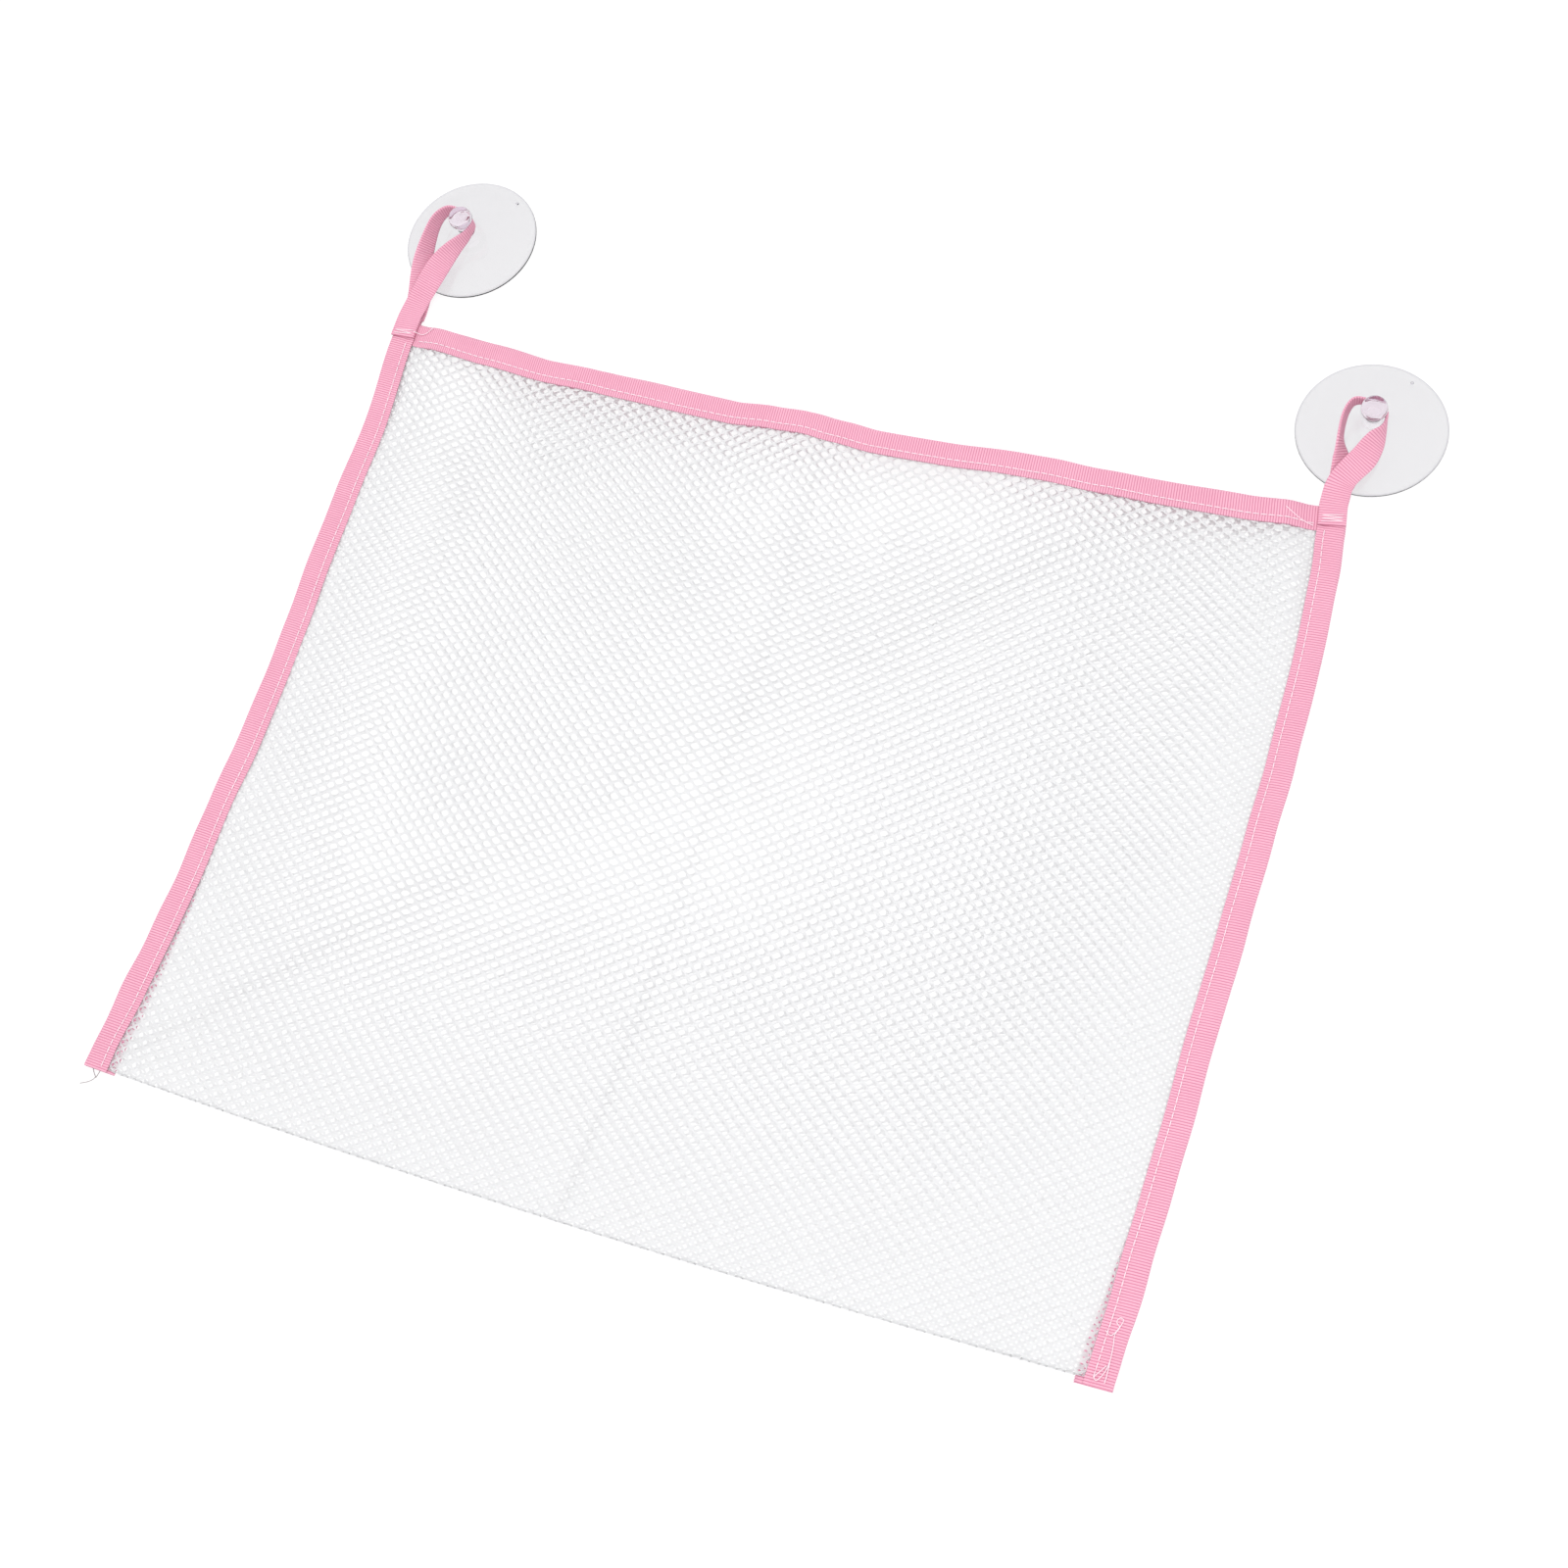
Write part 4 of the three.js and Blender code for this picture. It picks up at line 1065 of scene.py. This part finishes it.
def thread_along(points, radius):
    """A round thread along a path of points: a ring of six points square to the path."""
    ahead = unit(np.gradient(points, axis=0))
    aside = unit(np.cross(ahead, ASKEW))
    up = np.cross(aside, ahead)
    turn = np.arange(6) * np.pi / 3
    ring = aside[:, None] * np.cos(turn)[None, :, None] + up[:, None] * np.sin(turn)[None, :, None]
    run = np.arange(len(points), dtype=float)[:, None, None]
    return tube(points[:, None] + radius * ring, np.concatenate([run + 0 * turn[None, :, None]] * 2, -1))


def tack(name, spans):
    """Zigzags on the upper face of a loop strip: each span is (from, to) in millimetres back from
    the sewn end, with a swing for each half turn."""
    along, middle, across, through, wide = loop_tapes[name][1]
    parts = []
    for start, stop, swings in spans:
        count = swings * 10 + 1
        t = np.linspace(0, 1, count)
        at = along[-1] - mix(start, stop, t)
        on = lambda x: np.stack([np.interp(at, along, x[:, k]) for k in range(3)], -1)
        swing = (2 / np.pi) * np.arcsin(np.sin(np.pi * (t * swings - 0.5)))
        reach = (np.interp(at, along, wide) / 2 - TACK_MARGIN) * swing
        line = on(middle) + on(across) * reach[:, None] + on(-through) * TACK_UP
        parts.append(thread_along(line, TAIL_RADIUS))
    piece = thread_piece(name + "_loop_tack", parts)
    bends(piece)
    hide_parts(name + "_loop_stitching")


tack("left", [(1.0, 3.4, 3)])
tack("right", [(1.2, 4.6, 5)])

# %% Loose thread ends
# Paths are in pattern millimetres. Each lies on what is below it.
LOOSE_UP, LOOSE_ON_TAPE = 0.55, 2.62
LOOSE_LOW, LOOSE_HIGH, FALL_FROM, FALL_RUN = 0.2, 0.7, -5.0, 3.5


def at_corner(start):
    """Height of a thread that leaves the sewn corner at start and lies on the front mouth tape."""
    face = lambda u: mouth_level(u, True) + mouth_height(u) / 2 + LOOSE_UP
    return lambda u, v: mix(start, face(u), smooth((from_sides(u) - SEAM_IN) / 4.0))


def to_table(u, v):
    """Height of a thread that hangs out of the tape's end and falls to the table."""
    return mix(LOOSE_LOW, LOOSE_HIGH, smooth((v - FALL_FROM) / FALL_RUN))


def on_tape(u, v):
    """Height of a thread on the side tape's upper leaf."""
    return LOOSE_ON_TAPE + 0 * u


LOOSE_ENDS = {
    "bottom_left_ends": (LOOSE_THREAD, to_table, [
        [(3.6, -1.0), (4.8, -3.0), (6.0, -4.8), (4.1, -7.0), (0.8, -8.7)],
        [(7.4, 0.2), (7.2, -1.9), (6.3, -4.9)]]),
    "top_left_end": (THREAD, at_corner(5.1), [
        [(10.5, 343.6), (13.0, 343.5), (16.5, 344.0), (19.3, 347.0)]]),
    "top_right_end": (THREAD, at_corner(4.1), [
        [(409.0, 339.0), (406.0, 340.0), (403.0, 340.9), (400.0, 342.2), (397.1, 343.7)]]),
    "bottom_right_tangle": (THREAD, on_tape, [
        [(413.4, 16.7), (415.7, 15.5), (417.5, 18.0), (418.6, 21.6), (417.3, 22.3),
         (416.5, 20.6), (417.9, 19.0), (417.0, 16.2), (417.5, 12.1), (417.7, 6.5), (416.9, 2.5),
         (415.1, -0.6), (413.9, 0.2), (415.9, 3.3), (417.0, 5.1)],
        [(417.8, 6.6), (418.0, 2.6), (417.9, -0.9)]]),
}


def loose_piece(name, finish, height, paths):
    """Loose threads that lie on the tape or the table."""
    parts = []
    for path in paths:
        flat = soft_path(path, 8 * len(path))
        line = np.column_stack([flat, height(flat[:, 0], flat[:, 1])])
        parts.append(thread_along(line, TAIL_RADIUS))
    piece = thread_piece(name, parts)
    piece.data.materials[0] = finish
    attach(piece, "bag")


for name, given in LOOSE_ENDS.items():
    loose_piece(name, *given)

# %% [markdown]
# ## The suction cups
# Each cup is one moulding of clear soft plastic: a thin disc, hollow below, with a neck and a
# mushroom head. It is a profile spun round its axis. Cutting the corners of the profile a few
# times over rounds them as a mould would, and the poles close on the axis.

# %% Cups
CUP_PROFILE = np.array([
    (0, 3.4), (9.9, 3.0), (19.8, 1.6), (26.6, 0.02), (29.7, 0.02), (30, 0.3), (30, 0.8), (29.6, 1.1),
    (24, 2.1), (18, 3.2), (12, 4.4), (8.4, 5.4), (6, 6.5), (4.35, 7.5), (3.4, 8.4), (3.4, 15), (4.65, 15.6),
    (5.25, 16.4), (5.25, 18.2), (4.65, 19.7), (3.15, 20.65), (0, 21)])
CUP_TURNS = 128


def round_corners(profile, times):
    """Each pass replaces a corner by two points a quarter of the way along its two sides."""
    for _ in range(times):
        a, b = profile[:-1], profile[1:]
        cut = np.stack([0.75 * a + 0.25 * b, 0.25 * a + 0.75 * b], 1).reshape(-1, 2)
        profile = np.concatenate([profile[:1], cut[1:-1], profile[-1:]])
    return profile


def spun(profile, turns):
    """A profile of (radius, height) turned round its axis, with its poles closed: points and faces."""
    turn = np.arange(turns) * 2 * np.pi / turns
    r, z = profile[1:-1, 0][:, None], profile[1:-1, 1][:, None]
    ring = joined(r * np.cos(turn), r * np.sin(turn), z)
    rows = len(ring)
    poles = np.array([[0, 0, profile[0, 1]], [0, 0, profile[-1, 1]]])
    points = np.concatenate([ring.reshape(-1, 3), poles])
    around = np.arange(turns)
    after = (around + 1) % turns
    last = (rows - 1) * turns
    low = np.stack([np.full(turns, rows * turns), after, around], -1)
    high = np.stack([np.full(turns, rows * turns + 1), last + around, last + after], -1)
    return points, outward(points, [grid_faces(rows, turns, True), np.concatenate([low, high])])


def cup_piece(name):
    """The moulding of one cup, round the vertical axis through its neck."""
    local, faces = spun(round_corners(CUP_PROFILE, 2), CUP_TURNS)
    out = np.hypot(local[:, 0], local[:, 1])
    points = local + np.array([*LOOPS[name]["neck"], 0.0])
    piece = make_piece(name + "_clear_cup", points, faces, np.stack([out, local[:, 2]], -1), CUP_CLEAR)
    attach(piece, name + "_cup")
    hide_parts(name + "_suction_cup")


for name in LOOPS:
    cup_piece(name)

# %% Mould marks
# Where the plastic was fed into the mould a small dome is left. Its map puts it in the rim band, so it
# takes the painted rim shade and shows dark.
MARK_PROFILE = np.array([(0, -0.3), (0.7, -0.3), (0.75, 0.1), (0.5, 0.4), (0, 0.45)])
MARK_MAP = np.array([29.5, 0.0])
MARKS = {"left": (14.6, 21.8, 1.65), "right": (10.7, 23.6, 1.7)}


def mould_mark(name):
    """The dome on one cup, at its place from the neck."""
    local, faces = spun(round_corners(MARK_PROFILE, 1), 16)
    points = local + np.array([*LOOPS[name]["neck"], 0.0]) + np.array(MARKS[name])
    piece = make_piece(name + "_mould_mark", points, faces, MARK_MAP + 0 * local[:, :2], CUP_CLEAR)
    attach(piece, name + "_cup")


for name in MARKS:
    mould_mark(name)

# %% [markdown]
# ## Table and light
# The bag lies on white. The table takes the bag's soft shadow, and for camera, mirror and glass
# rays most of it glows plain white, so that the picture's ground is white without more light on
# the bag. The world and two large soft lamps light everything at an even level.

# %% Table
FLOOR_LEVEL, FLOOR_HALF = -0.0004, 3.0


def seen_directly(tree):
    """1 for rays from the camera, from mirrors and through glass, else 0."""
    path = add_node(tree, "ShaderNodeLightPath").outputs
    first = add_node(tree, "ShaderNodeMath", {
        0: path["Is Camera Ray"], 1: path["Is Glossy Ray"]}, operation="MAXIMUM")
    return add_node(tree, "ShaderNodeMath", {
        0: first.outputs[0], 1: path["Is Transmission Ray"]}, operation="MAXIMUM").outputs[0]


def choose(tree, kind, lighting, looking):
    """One shader for rays that light the scene and another for rays that look at it, at the output."""
    choice = add_node(tree, "ShaderNodeMixShader", {
        0: seen_directly(tree), 1: lighting.outputs[0], 2: looking.outputs[0]})
    add_node(tree, kind, {0: choice.outputs[0]})


floor_material = bpy.data.materials.new("white_table")
floor_material.use_nodes = True
tree = floor_material.node_tree
tree.nodes.clear()
plain = add_node(tree, "ShaderNodeBsdfDiffuse", {"Color": (0.96, 0.96, 0.965, 1)})
shade = add_node(tree, "ShaderNodeBsdfDiffuse", {"Color": (0.22, 0.22, 0.22, 1)})
glow = add_node(tree, "ShaderNodeEmission", {"Color": (1, 1, 1, 1), "Strength": 0.82})
seen = add_node(tree, "ShaderNodeAddShader", {0: shade.outputs[0], 1: glow.outputs[0]})
choose(tree, "ShaderNodeOutputMaterial", plain, seen)
floor_mesh = bpy.data.meshes.new("table")
corners = [(x * FLOOR_HALF, y * FLOOR_HALF, FLOOR_LEVEL) for x, y in ((-1, -1), (1, -1), (1, 1), (-1, 1))]
floor_mesh.from_pydata(corners, [], [(0, 1, 2, 3)])
floor_mesh.materials.append(floor_material)
floor = bpy.data.objects.new("table", floor_mesh)
bpy.context.scene.collection.objects.link(floor)
print("table level in m:", FLOOR_LEVEL)

# %% World and lamps
world = bpy.data.worlds.new("soft_room")
bpy.context.scene.world = world
world.use_nodes = True
tree = world.node_tree
tree.nodes.clear()
room = add_node(tree, "ShaderNodeBackground", {"Color": (1, 1, 1, 1), "Strength": 0.85})
white = add_node(tree, "ShaderNodeBackground", {"Color": (1, 1, 1, 1), "Strength": 1.0})
choose(tree, "ShaderNodeOutputWorld", room, white)


def soft_lamp(name, place, aim, size, power):
    """A square lamp that looks from place towards aim."""
    data = bpy.data.lights.new(name, "AREA")
    data.size, data.energy = size, power
    lamp = bpy.data.objects.new(name, data)
    back = unit(np.subtract(place, aim))
    side = unit(np.cross([0.0, 1.0, 0.01], back))
    pose = np.eye(4)
    pose[:3, :3], pose[:3, 3] = np.stack([side, np.cross(back, side), back], -1), place
    lamp.matrix_world = Matrix(pose.tolist())
    lamp.visible_glossy, lamp.visible_transmission = False, False
    bpy.context.scene.collection.objects.link(lamp)


soft_lamp("window", (-0.9, 0.7, 1.5), (0, 0, 0), 1.2, 10.0)
soft_lamp("front", (0.36, -0.40, 1.2), (0, 0, 0), 0.5, 8.0)
bpy.context.scene.view_settings.view_transform = "Standard"
print("lamps:", [light.name for light in bpy.data.lights])

# %% [markdown]
# ## Cloth sizes and the end
# Each piece of cloth prints what it was cut to. For a net piece that is the share of its flat panel that
# its yarn really covers, and for a tape or a loop its cut length. A tape is twice as wide as it shows, and
# a loop is a doubled strip.

# %% Sheets
def cover(piece):
    """Half the surface of a closed thin piece, in square metres."""
    mesh = piece.data
    area = np.zeros(len(mesh.polygons), np.float32)
    mesh.polygons.foreach_get("area", area)
    return float(area.sum()) / 2


for piece in front_net + back_net:
    flat = (0.5 * (NET_TO - NET_FROM) * MM, NET_TOP * MM)
    share = cover(piece) / (flat[0] * flat[1])
    print(piece.name, "yarn covers", round(share, 3), "of the panel")

# %% Tapes as cloth
tape_lengths = [(piece, SIDE_TO - SIDES[name][1]) for piece, name in zip(side_tapes, SIDES)]
tape_lengths += [(back_tape, MOUTH_ENDS[1] - MOUTH_ENDS[0]), (front_tapes[0], MID_RIB - MOUTH_ENDS[0]),
                 (front_tapes[1], MOUTH_ENDS[1] - MID_RIB)]
for piece, length in tape_lengths:
    print(piece.name, "cut length in mm", round(length, 1))
for name, (piece, rows) in loop_tapes.items():
    length = rows[0][-1]
    print(piece.name, "cut length in mm", round(length, 1))
